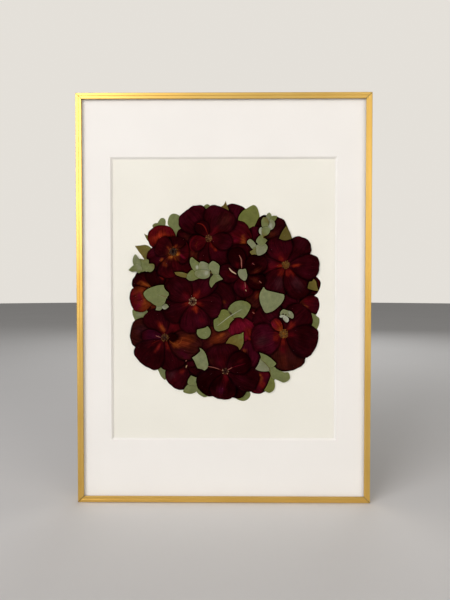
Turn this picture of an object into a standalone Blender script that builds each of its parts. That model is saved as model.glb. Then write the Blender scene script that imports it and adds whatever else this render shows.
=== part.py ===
"""A pressed flower frame: blooms, loose petals and leaves lie on a card behind glass and a bevelled mat,
in a slim mitred aluminium frame that hangs on a wall.

Units are metres and +Z is up. The front faces -Y, and the back lies in the plane Y = 0, against the
wall. The origin is where the frame is held: the middle of the top rail's outer back strip.
"""

import math
from collections import namedtuple

import bmesh
import bpy
from mathutils import Matrix, Vector

MM = 0.001
SHARP_ANGLE = math.radians(35)

# Driving dimensions of the frame
FRAME_WIDTH = 510 * MM
FRAME_HEIGHT = 710 * MM
FRAME_DEPTH = 22 * MM
FACE_WIDTH = 10.3 * MM
RAIL_WALL = 1.6 * MM
MITRE_GAP = 0.3 * MM
FIT_GAP = 0.3 * MM

# The rail's section
EDGE_CHAMFER = 0.5 * MM
GROOVE_WIDTH = 0.9 * MM
GROOVE_DEPTH = 0.4 * MM
LIP_DEPTH = 2.8 * MM
LIP_WALL = 1.2 * MM
CLIP_SEAT = 6.2 * MM
CLIP_SEAT_WALL = 1.2 * MM
HOOK_REACH = 1.8 * MM
HOOK_WALL = 1.2 * MM
CHANNEL_WALL = 1.4 * MM

# What the rails hold, from the front to the back
GLASS_THICKNESS = 2 * MM
MAT_THICKNESS = 3 * MM
CARD_THICKNESS = 0.8 * MM
BACKBOARD_THICKNESS = 3 * MM
WINDOW_WIDTH = 390 * MM
WINDOW_HEIGHT = 490 * MM

# Hardware
ANGLE_LEG = 38 * MM
ANGLE_THICKNESS = 2 * MM
CLIP_LENGTH = 70 * MM
CLIP_WIDTH = 14 * MM
CLIP_THICKNESS = 0.6 * MM
CLIP_SPACING = 360 * MM
CLIP_STEPS = 10
HANGER_LENGTH = 46 * MM
HANGER_HEIGHT = 11 * MM
HANGER_THICKNESS = 1 * MM
HANGER_RISE = 2.2 * MM
HANGER_TAB = 10 * MM
HANGER_SPACING = 300 * MM
HANGER_DROP = 45 * MM
HANGER_TEETH = 5
TOOTH_PITCH = 4 * MM
TOOTH_DEPTH = 1.8 * MM

# Pressed specimens
BLADE_THICKNESS = 0.22 * MM
BLADE_STEP = 0.014 * MM
LAYER_PITCH = 0.5 * MM
OUTLINE_STEP = 7 * MM
FEWEST_STEPS = 4
EYE_SIDES = 12
EYE_TOP = 0.6
EYE_HEIGHT = 0.9 * MM

# Where things lie, from the front (-Y) to the back
BACK_STRIP = RAIL_WALL + HOOK_REACH
CENTRE_Z = BACK_STRIP / 2 - FRAME_HEIGHT / 2
GLASS_FRONT = LIP_DEPTH + FIT_GAP - FRAME_DEPTH
GLASS_BACK = GLASS_FRONT + GLASS_THICKNESS
MAT_FRONT = GLASS_BACK + FIT_GAP
MAT_BACK = MAT_FRONT + MAT_THICKNESS
CARD_FRONT = MAT_BACK + FIT_GAP
CARD_BACK = CARD_FRONT + CARD_THICKNESS
BOARD_FRONT = CARD_BACK + FIT_GAP
BOARD_BACK = BOARD_FRONT + BACKBOARD_THICKNESS
SHEET_WIDTH = FRAME_WIDTH - 2 * (RAIL_WALL + FIT_GAP)
SHEET_HEIGHT = FRAME_HEIGHT - 2 * (RAIL_WALL + FIT_GAP)

CORNERS = {
    "top_left": (-1, 1),
    "top_right": (1, 1),
    "bottom_left": (-1, -1),
    "bottom_right": (1, -1),
}

Finish = namedtuple("Finish", "colour roughness metallic")
GOLD = Finish((0.72, 0.52, 0.22), 0.35, 1.0)
STEEL = Finish((0.55, 0.55, 0.56), 0.35, 1.0)
SPRING_STEEL = Finish((0.30, 0.32, 0.36), 0.3, 1.0)
CLEAR = Finish((0.90, 0.95, 0.93), 0.02, 0.0)
WHITE_MAT = Finish((0.86, 0.84, 0.80), 0.9, 0.0)
IVORY_CARD = Finish((0.84, 0.81, 0.74), 0.9, 0.0)
HARDBOARD = Finish((0.35, 0.21, 0.12), 0.8, 0.0)
WINE = Finish((0.050, 0.006, 0.012), 0.7, 0.0)
DARK = Finish((0.025, 0.004, 0.006), 0.7, 0.0)
MAUVE = Finish((0.090, 0.018, 0.035), 0.7, 0.0)
MAGENTA = Finish((0.180, 0.015, 0.045), 0.7, 0.0)
ORANGE = Finish((0.320, 0.085, 0.020), 0.7, 0.0)
RED = Finish((0.260, 0.030, 0.012), 0.7, 0.0)
SAGE = Finish((0.330, 0.370, 0.200), 0.8, 0.0)
OLIVE = Finish((0.300, 0.290, 0.080), 0.8, 0.0)
SILVER = Finish((0.480, 0.500, 0.400), 0.8, 0.0)

# The specimens, in millimetres from the frame's centre: X to the right and Z up, seen from the front.
# A blade is one petal or leaflet. It grows from (x, z) in the direction turn, in degrees from +X.
# taper and tip shape it: a low taper is full at the base, and a low tip is blunt at the end.
Blade = namedtuple("Blade", "x z turn length width taper tip", defaults=(0.8, 0.5))

# A bloom's petals grow from a ring of radius ring round its centre, listed from the lowest to the topmost.
# eye is the radius of the boss of stamens in the middle, and raised is False where something lies on it.
Petal = namedtuple("Petal", "turn length width taper tip", defaults=(0.8, 0.5))
Bloom = namedtuple("Bloom", "x z ring eye raised petals")

BLOOMS = {
    "top_bloom": Bloom(-26, 106, 4, 7, True, (
        Petal(181, 53, 42),
        Petal(241, 61, 48),
        Petal(268, 46, 34),
        Petal(311, 60, 46, 0.9),
        Petal(126, 59, 57, 1.0, 0.4),
        Petal(62, 55, 59, 0.8, 0.42),
        Petal(348, 38, 29, 0.7),
        Petal(122, 30, 24),
        Petal(201, 32, 28),
    )),
    "rose": Bloom(-88, 83, 3, 11, True, (
        Petal(204, 43, 40),
        Petal(281, 38, 62),
        Petal(0, 25, 42, 0.6),
        Petal(93, 23, 46, 0.6),
        Petal(153, 29, 36, 0.7),
    )),
    "right_bloom": Bloom(108, 60, 5, 8, True, (
        Petal(178, 50, 42),
        Petal(243, 52, 48, 0.9),
        Petal(51, 52, 42, 0.9),
        Petal(303, 60, 46, 0.9),
        Petal(355, 54, 44, 0.9, 0.45),
        Petal(113, 46, 45, 0.8, 0.45),
    )),
    "left_centre_bloom": Bloom(-54, -4, 5, 8, True, (
        Petal(203, 50, 48),
        Petal(348, 44, 46),
        Petal(63, 54, 48),
        Petal(138, 50, 47),
        Petal(276, 50, 52, 0.8, 0.45),
    )),
    "left_bloom": Bloom(-103, -67, 5, 8, True, (
        Petal(289, 54, 50, 0.9),
        Petal(169, 56, 54, 0.9, 0.45),
        Petal(54, 42, 40),
        Petal(342, 60, 54),
        Petal(112, 49, 47, 0.9, 0.45),
        Petal(174, 36, 23, 0.6),
        Petal(229, 56, 57, 1.0, 0.45),
        Petal(0, 21, 14, 0.5),
    )),
    "lower_right_bloom": Bloom(105, -60, 5, 9, True, (
        Petal(132, 58, 56),
        Petal(47, 55, 52, 0.7, 0.45),
        Petal(277, 61, 62, 0.9, 0.45),
        Petal(341, 56, 58, 0.8, 0.45),
        Petal(197, 53, 57, 0.7),
        Petal(127, 26, 18, 0.7, 0.4),
    )),
    "bottom_bloom": Bloom(3, -126, 4, 6, True, (
        Petal(166, 32, 34),
        Petal(213, 54, 52),
        Petal(305, 50, 34, 0.9),
        Petal(263, 46, 46),
        Petal(99, 45, 60, 0.6),
        Petal(340, 57, 43, 0.9, 0.45),
        Petal(31, 44, 40),
    )),
    "centre_bloom": Bloom(33, 43, 5, 8, False, (
        Petal(92, 48, 50),
        Petal(174, 37, 31, 0.5),
        Petal(277, 35, 36, 0.5),
        Petal(336, 36, 27),
        Petal(108, 44, 30),
        Petal(38, 44, 36),
    )),
    "far_left_bloom": Bloom(-112, 9, 5, 8, False, (
        Petal(248, 32, 32),
        Petal(65, 47, 30),
        Petal(144, 49, 37, 0.9, 0.45),
        Petal(97, 38, 28),
        Petal(195, 48, 46, 0.9, 0.45),
    )),
    "upper_right_bloom": Bloom(52, 96, 4, 9, False, (
        Petal(264, 34, 40, 0.7),
        Petal(345, 30, 34, 0.7),
        Petal(61, 52, 44, 0.9, 0.42),
        Petal(32, 63, 52, 0.9, 0.42),
        Petal(82, 27, 26),
        Petal(143, 49, 46, 0.8, 0.45),
    )),
    "right_edge_bloom": Bloom(130, -9, 1, 10, False, (
        Petal(55, 57, 31, 0.9),
        Petal(166, 38, 32),
        Petal(355, 36, 37, 0.8, 0.45),
    )),
    "middle_bloom": Bloom(21, -26, 4, 8, False, (
        Petal(44, 63, 50),
        Petal(97, 58, 46),
        Petal(131, 69, 50),
        Petal(207, 57, 40),
        Petal(353, 37, 28),
        Petal(288, 51, 58, 0.8, 0.45),
    )),
    "lower_left_bloom": Bloom(-63, -118, 1, 5, False, (
        Petal(125, 22, 28),
        Petal(287, 24, 30),
        Petal(228, 43, 48, 0.8, 0.45),
        Petal(339, 33, 20, 0.7),
        Petal(52, 23, 22, 0.7),
    )),
    "low_right_bloom": Bloom(45, -122, 1, 6, False, (
        Petal(24, 30, 34),
        Petal(84, 49, 41),
        Petal(317, 47, 52, 0.8, 0.45),
    )),
}

# Loose petals, and sprigs whose leaflets grow from one thin stalk
BLADES = {
    "red_petal": (Blade(-107, 84, 92, 45, 49, 0.55, 0.45),),
    "rear_top_petal": (Blade(14, 126, 71, 40, 45, 0.8, 0.45),),
    "amber_petal": (Blade(7, -60, 204, 58, 50),),
    "silver_sprig": (
        Blade(59, 88, 69, 56, 2.4, 0.2, 0.2),
        Blade(74, 137, 63, 14, 9, 0.5),
        Blade(77, 137, 27, 17, 9, 0.5),
        Blade(75, 125, 55, 16, 12, 0.5),
        Blade(70, 123, 88, 21, 13, 0.5),
        Blade(71, 117, 133, 13, 10, 0.5),
        Blade(71, 111, 80, 17, 14, 0.5),
        Blade(61, 96, 52, 19, 17, 0.5),
        Blade(56, 88, 133, 22, 10, 0.5),
        Blade(65, 98, 285, 21, 17, 0.5),
        Blade(59, 94, 250, 18, 15, 0.5),
        Blade(62, 96, 265, 20, 13, 0.5),
    ),
    "centre_sprig": (
        Blade(-66, 40, 8, 56, 2.4, 0.2, 0.2),
        Blade(-58, 42, 175, 28, 11, 0.5, 0.4),
        Blade(-42, 45, 208, 24, 19, 0.5, 0.4),
        Blade(-45, 47, 113, 28, 16, 0.7, 0.5),
        Blade(-15, 46, 253, 28, 12, 0.6, 0.6),
        Blade(-19, 46, 325, 21, 14, 0.6, 0.7),
        Blade(-16, 42, 92, 25, 20, 0.5, 0.4),
        Blade(-35, 35, 93, 31, 24, 0.5, 0.4),
    ),
    "bottom_left_sprig": (
        Blade(-53, -158, 56, 16, 2.4, 0.2, 0.2),
        Blade(-51, -151, 108, 20, 18, 0.6, 0.5),
        Blade(-49, -151, 68, 22, 17, 0.6, 0.5),
        Blade(-46, -150, 207, 28, 21, 0.5, 0.45),
        Blade(-46, -146, 309, 32, 18, 0.5, 0.45),
        Blade(-46, -157, 62, 15, 11, 0.5, 0.4),
    ),
    "lower_right_sprig": (
        Blade(84, -133, 262, 30, 18, 0.6, 0.4),
        Blade(80, -122, 332, 39, 26, 0.5, 0.4),
        Blade(85, -117, 167, 31, 22, 0.5, 0.9),
        Blade(90, -120, 136, 39, 21, 0.5, 0.8),
        Blade(78, -116, 290, 26, 6, 0.3, 0.3),
    ),
    "large_pale_leaf": (
        Blade(-112, -3, 263, 17, 13, 0.5, 0.4),
        Blade(-110, -8, 338, 17, 11, 0.5, 0.6),
    ),
}

# Leaves whose outline is given by its turning points. A point with CORNER is sharp, the rest are smooth.
CORNER = True
OUTLINES = {
    "top_left_leaf": (
        (-98, 138), (-94, 146.5), (-88, 149.5), (-80, 148), (-75, 143), (-72, 134), (-70, 120),
        (-82, 106, CORNER), (-87, 117), (-95, 127),
    ),
    "leaf_behind_red_petal": (
        (-100, 125), (-101.5, 136), (-106, 141.5), (-111, 140), (-115, 134, CORNER), (-121, 132.5),
        (-124, 129), (-122, 122), (-128, 114), (-138.5, 114.5, CORNER), (-134, 106), (-128, 100),
        (-110, 100),
    ),
    "serrated_leaf": (
        (-156, 93.5, CORNER), (-145, 94), (-137, 95), (-128, 93), (-119, 86), (-118, 76),
        (-124, 71), (-130, 68), (-138, 68.5), (-145, 74.5), (-150.5, 82.5),
    ),
    "three_lobed_leaf": (
        (-166, 51, CORNER), (-161, 56), (-157, 60.5, CORNER), (-159, 66), (-157, 74), (-153, 78.5),
        (-150, 74), (-146, 70), (-140, 69.5), (-130, 69.5), (-129.5, 63, CORNER), (-122, 61.5),
        (-120, 56), (-123, 50), (-127, 47, CORNER), (-140, 46), (-147, 45.5), (-150, 48.5), (-160, 48),
    ),
    "small_top_leaf": ((-35.5, 156), (-34, 163), (-28, 166), (-23, 162.5), (-22, 156), (-28, 152)),
    "olive_tip": ((-5, 161, CORNER), (0, 164), (3.5, 171, CORNER), (5.5, 163), (10, 152, CORNER), (2, 150)),
    "top_right_leaf": (
        (25.5, 124), (25, 135), (27, 145), (33, 153), (41, 158.5), (52, 164), (58.5, 159), (62, 148),
        (64, 137), (62, 125), (56, 116), (46, 120), (34, 120),
    ),
    "upper_olive_leaf": (
        (109, 128, CORNER), (115, 117), (119, 106, CORNER), (106, 104.5), (97, 106, CORNER), (102, 118),
    ),
    "right_olive_leaf": (
        (148, 29, CORNER), (153, 31), (156, 36, CORNER), (160, 31), (162.5, 22), (165.5, 14.5, CORNER),
        (155, 16), (149, 18), (146, 21),
    ),
    "right_edge_leaf": (
        (148, -24), (158, -26), (163.5, -30), (167, -33.5), (167, -42), (164, -50), (161, -55.5, CORNER),
        (155, -52), (147, -48), (145, -36),
    ),
    "white_leaf": (
        (98, -24), (100, -19), (106, -16.5), (112, -19), (118, -20), (121.5, -25), (122.5, -30), (118, -33.5),
        (114, -32, CORNER), (114.5, -37), (110, -40.5), (105, -38), (103, -33, CORNER), (98, -32), (97, -28),
    ),
    "triangular_leaf": (
        (70, 22, CORNER), (75, 16), (85, 13), (97, 10.5), (106, 8, CORNER), (105, 1), (100, -8), (92, -15),
        (84, -20), (76, -23.5), (70, -20), (65, -10), (61.5, 0), (63, 8), (66, 16),
    ),
    "two_lobed_leaf": (
        (8.5, -16, CORNER), (12, -9), (18, -5), (26, -2), (35, -2.5), (42, -5), (47.5, -10), (46, -17),
        (42, -25), (36, -31), (33, -34, CORNER), (29.5, -31.5), (22, -31), (18, -34, CORNER), (14, -40),
        (10, -46), (8, -52.5), (0, -54.5), (-10, -56), (-15, -52.5), (-17.5, -45), (-17, -36),
        (-10, -32, CORNER), (-9, -27), (-7, -21), (-3, -18), (3, -17), (7, -19, CORNER), (15, -29, CORNER),
    ),
    "round_leaf": (
        (-46, -53, CORNER), (-46.5, -60), (-43, -65.5), (-37, -68.5), (-31, -68.5), (-25, -64.5),
        (-22.5, -58), (-24, -52), (-28, -47, CORNER), (-33, -50), (-40, -51.5),
    ),
    "kite_leaf": (
        (-40.5, -84, CORNER), (-35, -88), (-31, -94), (-27.5, -103), (-26, -112), (-27, -119),
        (-33, -125, CORNER), (-36, -122.5), (-46, -121, CORNER), (-49, -112), (-52, -105),
        (-55.5, -101.5, CORNER), (-48, -97), (-42, -91),
    ),
    "lower_left_leaf": (
        (-117, -115), (-112.5, -130), (-108.5, -137), (-103.5, -142, CORNER), (-99, -138), (-97, -130),
        (-92, -124), (-90, -114), (-102, -111),
    ),
    "bottom_leaf": (
        (13, -163), (20, -172.5), (27, -177), (35, -178.5), (41.5, -176), (46, -171), (47, -165), (42, -158),
        (36, -152), (30, -154), (24, -158),
    ),
    "low_olive_leaf": (
        (3, -79, CORNER), (5, -72), (10, -66.5), (16, -63), (25, -61), (31, -59.5), (34.5, -57.5, CORNER),
        (35, -66), (34.5, -74), (33, -82), (28, -89), (23, -96, CORNER), (14, -94), (6, -86),
    ),
    "left_edge_leaf": (
        (-159, -18), (-150, -17), (-134, -20), (-133, -30), (-136, -38), (-145, -42), (-150, -43),
        (-153.5, -41.5, CORNER), (-157, -33), (-159.5, -26),
    ),
    "large_pale_leaf": (
        (-139.5, 10), (-137, 14.5), (-130, 20), (-118, 24), (-104, 26, CORNER), (-101.5, 20), (-98, 15),
        (-94.5, 11), (-95.5, 5), (-100, -1), (-102, -8), (-105, -13), (-112, -14), (-120, -11.5),
        (-128, -6.5), (-136, 0),
    ),
    "leaf_on_flower": (
        (25, 46), (26, 51), (32, 53), (38, 53), (41, 46), (41.5, 40), (38.5, 35), (35.5, 32.5, CORNER),
        (30, 37), (26, 42),
    ),
}

# Every specimen, from the one laid down first to the topmost
SPECIMENS = (
    ("rear_top_petal", WINE),
    ("small_top_leaf", SAGE),
    ("olive_tip", OLIVE),
    ("top_right_leaf", SAGE),
    ("upper_right_bloom", MAGENTA),
    ("top_left_leaf", SAGE),
    ("leaf_behind_red_petal", SAGE),
    ("serrated_leaf", OLIVE),
    ("red_petal", RED),
    ("top_bloom", WINE),
    ("right_edge_bloom", RED),
    ("right_edge_leaf", SAGE),
    ("left_edge_leaf", SAGE),
    ("far_left_bloom", ORANGE),
    ("lower_left_leaf", SAGE),
    ("middle_bloom", MAGENTA),
    ("low_right_bloom", MAUVE),
    ("lower_left_bloom", WINE),
    ("bottom_leaf", SAGE),
    ("amber_petal", ORANGE),
    ("left_bloom", WINE),
    ("left_centre_bloom", MAUVE),
    ("rose", WINE),
    ("right_bloom", WINE),
    ("lower_right_bloom", WINE),
    ("low_olive_leaf", OLIVE),
    ("bottom_left_sprig", SAGE),
    ("bottom_bloom", DARK),
    ("upper_olive_leaf", OLIVE),
    ("three_lobed_leaf", SAGE),
    ("right_olive_leaf", OLIVE),
    ("white_leaf", SILVER),
    ("triangular_leaf", SAGE),
    ("two_lobed_leaf", SAGE),
    ("round_leaf", SAGE),
    ("kite_leaf", SAGE),
    ("lower_right_sprig", SAGE),
    ("large_pale_leaf", SAGE),
    ("centre_bloom", DARK),
    ("silver_sprig", SILVER),
    ("centre_sprig", SAGE),
    ("leaf_on_flower", SILVER),
)


def clear_scene():
    for old in list(bpy.data.objects):
        bpy.data.objects.remove(old, do_unlink=True)


def add_object(name, mesh, parent):
    piece = bpy.data.objects.new(name, mesh)
    bpy.context.scene.collection.objects.link(piece)
    piece.parent = parent
    return piece


def give_finish(piece, finish):
    material = bpy.data.materials.new(piece.name)
    material.use_nodes = True
    shader = material.node_tree.nodes["Principled BSDF"]
    shader.inputs["Base Color"].default_value = (*finish.colour, 1.0)
    shader.inputs["Roughness"].default_value = finish.roughness
    shader.inputs["Metallic"].default_value = finish.metallic
    if finish is CLEAR:
        shader.inputs["Transmission Weight"].default_value = 1.0
        shader.inputs["IOR"].default_value = 1.5
    piece.data.materials.append(material)


def finish_mesh(build, mesh):
    """Writes the bmesh out with its faces pointing outwards and its round parts smooth."""
    bmesh.ops.recalc_face_normals(build, faces=build.faces)
    build.to_mesh(mesh)
    build.free()
    mesh.shade_smooth()
    mesh.set_sharp_from_angle(angle=SHARP_ANGLE)
    return mesh


def closed_mesh(name, loops):
    """A solid whose walls join each loop of points to the next, and whose first and last loops are capped."""
    mesh = bpy.data.meshes.new(name)
    build = bmesh.new()
    rings = [[build.verts.new(point) for point in loop] for loop in loops]
    for near, far in zip(rings, rings[1:]):
        for i in range(len(near)):
            build.faces.new((near[i - 1], near[i], far[i], far[i - 1]))
    build.faces.new(rings[0])
    build.faces.new(rings[-1])
    return finish_mesh(build, mesh)


def slab_mesh(name, outline, back, front):
    """A flat solid with the given outline of (x, z) points, from y = back to y = front."""
    return closed_mesh(name, [[(x, back, z) for x, z in outline], [(x, front, z) for x, z in outline]])


def rectangle(width, height):
    x, z = width / 2, height / 2
    return [(-x, -z), (x, -z), (x, z), (-x, z)]


def fuse(piece, others):
    """Unions the other objects with piece. They stay behind as hidden wire guides."""
    group = bpy.data.collections.new(piece.name + "_pieces")
    bpy.context.scene.collection.children.link(group)
    for other in others:
        bpy.context.scene.collection.objects.unlink(other)
        group.objects.link(other)
        hide_guide(other)
    union = piece.modifiers.new("union", "BOOLEAN")
    union.operation = "UNION"
    union.operand_type = "COLLECTION"
    union.collection = group


def hide_guide(guide):
    guide.hide_render = True
    guide.display_type = "WIRE"


# The frame's rails


def rail_section():
    """Points across a rail: the distance in from the frame's outer edge, and Y."""
    front = -FRAME_DEPTH
    groove = FACE_WIDTH / 2
    lip_back = front + LIP_DEPTH
    lip_inner = FACE_WIDTH - LIP_WALL
    seat = -CLIP_SEAT
    channel_inner = FACE_WIDTH - CHANNEL_WALL
    return [
        (0, front + EDGE_CHAMFER),
        (EDGE_CHAMFER, front),
        (groove - GROOVE_WIDTH / 2, front),
        (groove, front + GROOVE_DEPTH),
        (groove + GROOVE_WIDTH / 2, front),
        (FACE_WIDTH - EDGE_CHAMFER, front),
        (FACE_WIDTH, front + EDGE_CHAMFER),
        (FACE_WIDTH, lip_back),
        (lip_inner, lip_back),
        (lip_inner, front + RAIL_WALL),
        (RAIL_WALL, front + RAIL_WALL),
        (RAIL_WALL, seat),
        (FACE_WIDTH, seat),
        (FACE_WIDTH, 0),
        (channel_inner - HOOK_REACH, 0),
        (channel_inner - HOOK_REACH, -HOOK_WALL),
        (channel_inner, -HOOK_WALL),
        (channel_inner, seat + CLIP_SEAT_WALL),
        (RAIL_WALL, seat + CLIP_SEAT_WALL),
        (RAIL_WALL, -HOOK_WALL),
        (BACK_STRIP, -HOOK_WALL),
        (BACK_STRIP, 0),
        (0, 0),
    ]


def add_rail(name, length, across, quarter_turns, parent):
    """A rail with mitred ends. across is the frame's size at right angles to the rail."""
    half = length / 2 - MITRE_GAP / math.sqrt(2)
    ends = [
        [(side * (half - inward), y, across / 2 - inward) for inward, y in rail_section()]
        for side in (-1, 1)
    ]
    rail = add_object(name, closed_mesh(name, ends), parent)
    rail.rotation_euler.y = quarter_turns * math.pi / 2
    give_finish(rail, GOLD)


def add_rails(parent):
    add_rail("top_rail", FRAME_WIDTH, FRAME_HEIGHT, 0, parent)
    add_rail("right_rail", FRAME_HEIGHT, FRAME_WIDTH, 1, parent)
    add_rail("bottom_rail", FRAME_WIDTH, FRAME_HEIGHT, 2, parent)
    add_rail("left_rail", FRAME_HEIGHT, FRAME_WIDTH, 3, parent)


def add_corner_angles(parent):
    """One flat L-shaped plate in the rear channels at each corner joins two rails."""
    outer = RAIL_WALL + FIT_GAP
    inner = FACE_WIDTH - CHANNEL_WALL - FIT_GAP
    legs = [
        (outer, outer),
        (outer + ANGLE_LEG, outer),
        (outer + ANGLE_LEG, inner),
        (inner, inner),
        (inner, outer + ANGLE_LEG),
        (outer, outer + ANGLE_LEG),
    ]
    back = -HOOK_WALL - FIT_GAP
    for corner, (right, up) in CORNERS.items():
        name = "corner_angle_" + corner
        outline = [
            (right * (FRAME_WIDTH / 2 - inward), up * (FRAME_HEIGHT / 2 - down)) for inward, down in legs
        ]
        angle = add_object(name, slab_mesh(name, outline, back, back - ANGLE_THICKNESS), parent)
        give_finish(angle, STEEL)


# The sheets between the rails


def add_sheet(name, back, front, finish, parent):
    sheet = add_object(name, slab_mesh(name, rectangle(SHEET_WIDTH, SHEET_HEIGHT), back, front), parent)
    give_finish(sheet, finish)


def add_mat(parent):
    """The mat's window is cut at 45 degrees, so it is wider at the front."""
    mesh = bpy.data.meshes.new("mat")
    build = bmesh.new()
    window = [
        (rectangle(WINDOW_WIDTH + MAT_THICKNESS, WINDOW_HEIGHT + MAT_THICKNESS), MAT_FRONT),
        (rectangle(WINDOW_WIDTH - MAT_THICKNESS, WINDOW_HEIGHT - MAT_THICKNESS), MAT_BACK),
    ]
    edge = [(rectangle(SHEET_WIDTH, SHEET_HEIGHT), y) for y in (MAT_BACK, MAT_FRONT)]
    rings = [[build.verts.new((x, y, z)) for x, z in corners] for corners, y in window + edge]
    for near, far in zip(rings, rings[1:] + rings[:1]):
        for i in range(4):
            build.faces.new((near[i - 1], near[i], far[i], far[i - 1]))
    give_finish(add_object("mat", finish_mesh(build, mesh), parent), WHITE_MAT)


def add_sheets(parent):
    add_sheet("glass", GLASS_BACK, GLASS_FRONT, CLEAR, parent)
    add_mat(parent)
    add_sheet("card", CARD_BACK, CARD_FRONT, IVORY_CARD, parent)
    add_sheet("backboard", BOARD_BACK, BOARD_FRONT, HARDBOARD, parent)


# Hardware at the back


def strip_mesh(name, line, thickness, low, high):
    """A bent strip: line is its lower side as (x, y) points, and it spans z = low to z = high."""
    under = [Vector(point) for point in line]
    over = [Vector((x, y + thickness)) for x, y in line]
    profile = under + over[::-1]
    return closed_mesh(name, [[(x, y, z) for x, y in profile] for z in (low, high)])


def add_spring_clips(parent):
    """Bowed strips press the backboard forward from under the side rails' clip seats."""
    bow_front = BOARD_BACK + FIT_GAP
    bow = -CLIP_SEAT - FIT_GAP - CLIP_THICKNESS - bow_front
    line = []
    for i in range(CLIP_STEPS + 1):
        t = 2 * i / CLIP_STEPS - 1
        line.append((t * CLIP_LENGTH / 2, bow_front + bow * t * t))
    inner = FRAME_WIDTH / 2 - RAIL_WALL - 2 * FIT_GAP
    for side, right in (("left", -1), ("right", 1)):
        for place, up in (("upper", 1), ("lower", -1)):
            name = f"spring_clip_{side}_{place}"
            mesh = strip_mesh(name, line, CLIP_THICKNESS, inner - CLIP_WIDTH, inner)
            mesh.transform(Matrix.Rotation(right * math.pi / 2, 4, "Y"))
            clip = add_object(name, mesh, parent)
            clip.location.z = up * CLIP_SPACING / 2
            give_finish(clip, SPRING_STEEL)


def add_hangers(parent):
    """Stamped plates on the backboard, bridged in the middle so that a nail's head goes behind them."""
    seat = BOARD_BACK + FIT_GAP
    half = HANGER_LENGTH / 2
    bridge = half - HANGER_TAB
    line = [
        (-half, seat),
        (-bridge, seat),
        (HANGER_RISE - bridge, seat + HANGER_RISE),
        (bridge - HANGER_RISE, seat + HANGER_RISE),
        (bridge, seat),
        (half, seat),
    ]
    for side, right in (("left", -1), ("right", 1)):
        name = "hanger_" + side
        mesh = strip_mesh(name, line, HANGER_THICKNESS, -HANGER_HEIGHT / 2, HANGER_HEIGHT / 2)
        hanger = add_object(name, mesh, parent)
        hanger.location = (right * HANGER_SPACING / 2, 0, FRAME_HEIGHT / 2 - HANGER_DROP)
        give_finish(hanger, STEEL)
        cut_teeth(hanger, parent)


def cut_teeth(hanger, parent):
    """Notches along the bridge's lower edge, in which the nail sits."""
    low = -HANGER_HEIGHT / 2
    row = [(-(HANGER_TEETH + 1) * TOOTH_PITCH / 2, low - TOOTH_DEPTH)]
    for tooth in range(HANGER_TEETH):
        middle = (tooth - (HANGER_TEETH - 1) / 2) * TOOTH_PITCH
        row.append((middle - TOOTH_PITCH * 0.4, low - FIT_GAP))
        row.append((middle, low + TOOTH_DEPTH))
        row.append((middle + TOOTH_PITCH * 0.4, low - FIT_GAP))
    row.append(((HANGER_TEETH + 1) * TOOTH_PITCH / 2, low - TOOTH_DEPTH))
    cutter = add_object(hanger.name + "_teeth", slab_mesh("teeth", row, 0, BOARD_BACK), parent)
    cutter.location = hanger.location
    hide_guide(cutter)
    cut = hanger.modifiers.new("teeth", "BOOLEAN")
    cut.operation = "DIFFERENCE"
    cut.object = cutter


# Pressed specimens


def blade_outline(blade):
    """A petal's or leaflet's outline in metres, down its right side and back up its left."""
    along = Vector((math.cos(math.radians(blade.turn)), math.sin(math.radians(blade.turn))))
    across = Vector((-along.y, along.x))
    widest = blade.taper / (blade.taper + blade.tip)
    fullest = widest**blade.taper * (1 - widest) ** blade.tip
    steps = max(FEWEST_STEPS, round(blade.length * MM / OUTLINE_STEP))
    right, left = [], []
    for i in range(steps + 1):
        t = 0.5 - 0.5 * math.cos(math.pi * i / steps)
        half = blade.width / 2 * t**blade.taper * (1 - t) ** blade.tip / fullest
        spine = Vector((blade.x, blade.z)) + along * blade.length * t
        right.append(spine - across * half)
        left.append(spine + across * half)
    return [tuple(point * MM) for point in right + left[-2:0:-1]]


def smooth_outline(points):
    """A closed curve in metres through the given points, which keeps the corners sharp."""
    places = [Vector(point[:2]) * MM for point in points]
    sharp = [len(point) > 2 for point in points]
    count = len(places)
    outline = []
    for i in range(count):
        start, end = places[i], places[(i + 1) % count]
        run = end - start
        leave = run if sharp[i] else (end - places[i - 1]) / 2
        arrive = run if sharp[(i + 1) % count] else (places[(i + 2) % count] - start) / 2
        steps = max(1, round(run.length / OUTLINE_STEP))
        for step in range(steps):
            t = step / steps
            point = (
                start * (2 * t**3 - 3 * t**2 + 1)
                + leave * (t**3 - 2 * t**2 + t)
                + end * (3 * t**2 - 2 * t**3)
                + arrive * (t**3 - t**2)
            )
            outline.append(tuple(point))
    return outline


def petal_blades(bloom):
    """A bloom's petals as blades that start on its ring."""
    blades = []
    for petal in bloom.petals:
        turn = math.radians(petal.turn)
        x = bloom.x + bloom.ring * math.cos(turn)
        z = bloom.z + bloom.ring * math.sin(turn)
        blades.append(Blade(x, z, *petal))
    return blades


def specimen_outlines(name):
    """The outlines of everything in one specimen, from the lowest to the topmost."""
    blades = petal_blades(BLOOMS[name]) if name in BLOOMS else BLADES.get(name, ())
    outlines = [blade_outline(blade) for blade in blades]
    if name in OUTLINES:
        outlines.append(smooth_outline(OUTLINES[name]))
    return outlines


def turn_of(a, b, c):
    return (b[0] - a[0]) * (c[1] - a[1]) - (b[1] - a[1]) * (c[0] - a[0])


def holds(outline, point):
    """True if the outline goes round the point."""
    held = False
    for (ax, az), (bx, bz) in zip(outline, outline[1:] + outline[:1]):
        if (az > point[1]) != (bz > point[1]) and point[0] < (bx - ax) * (point[1] - az) / (bz - az) + ax:
            held = not held
    return held


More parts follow.
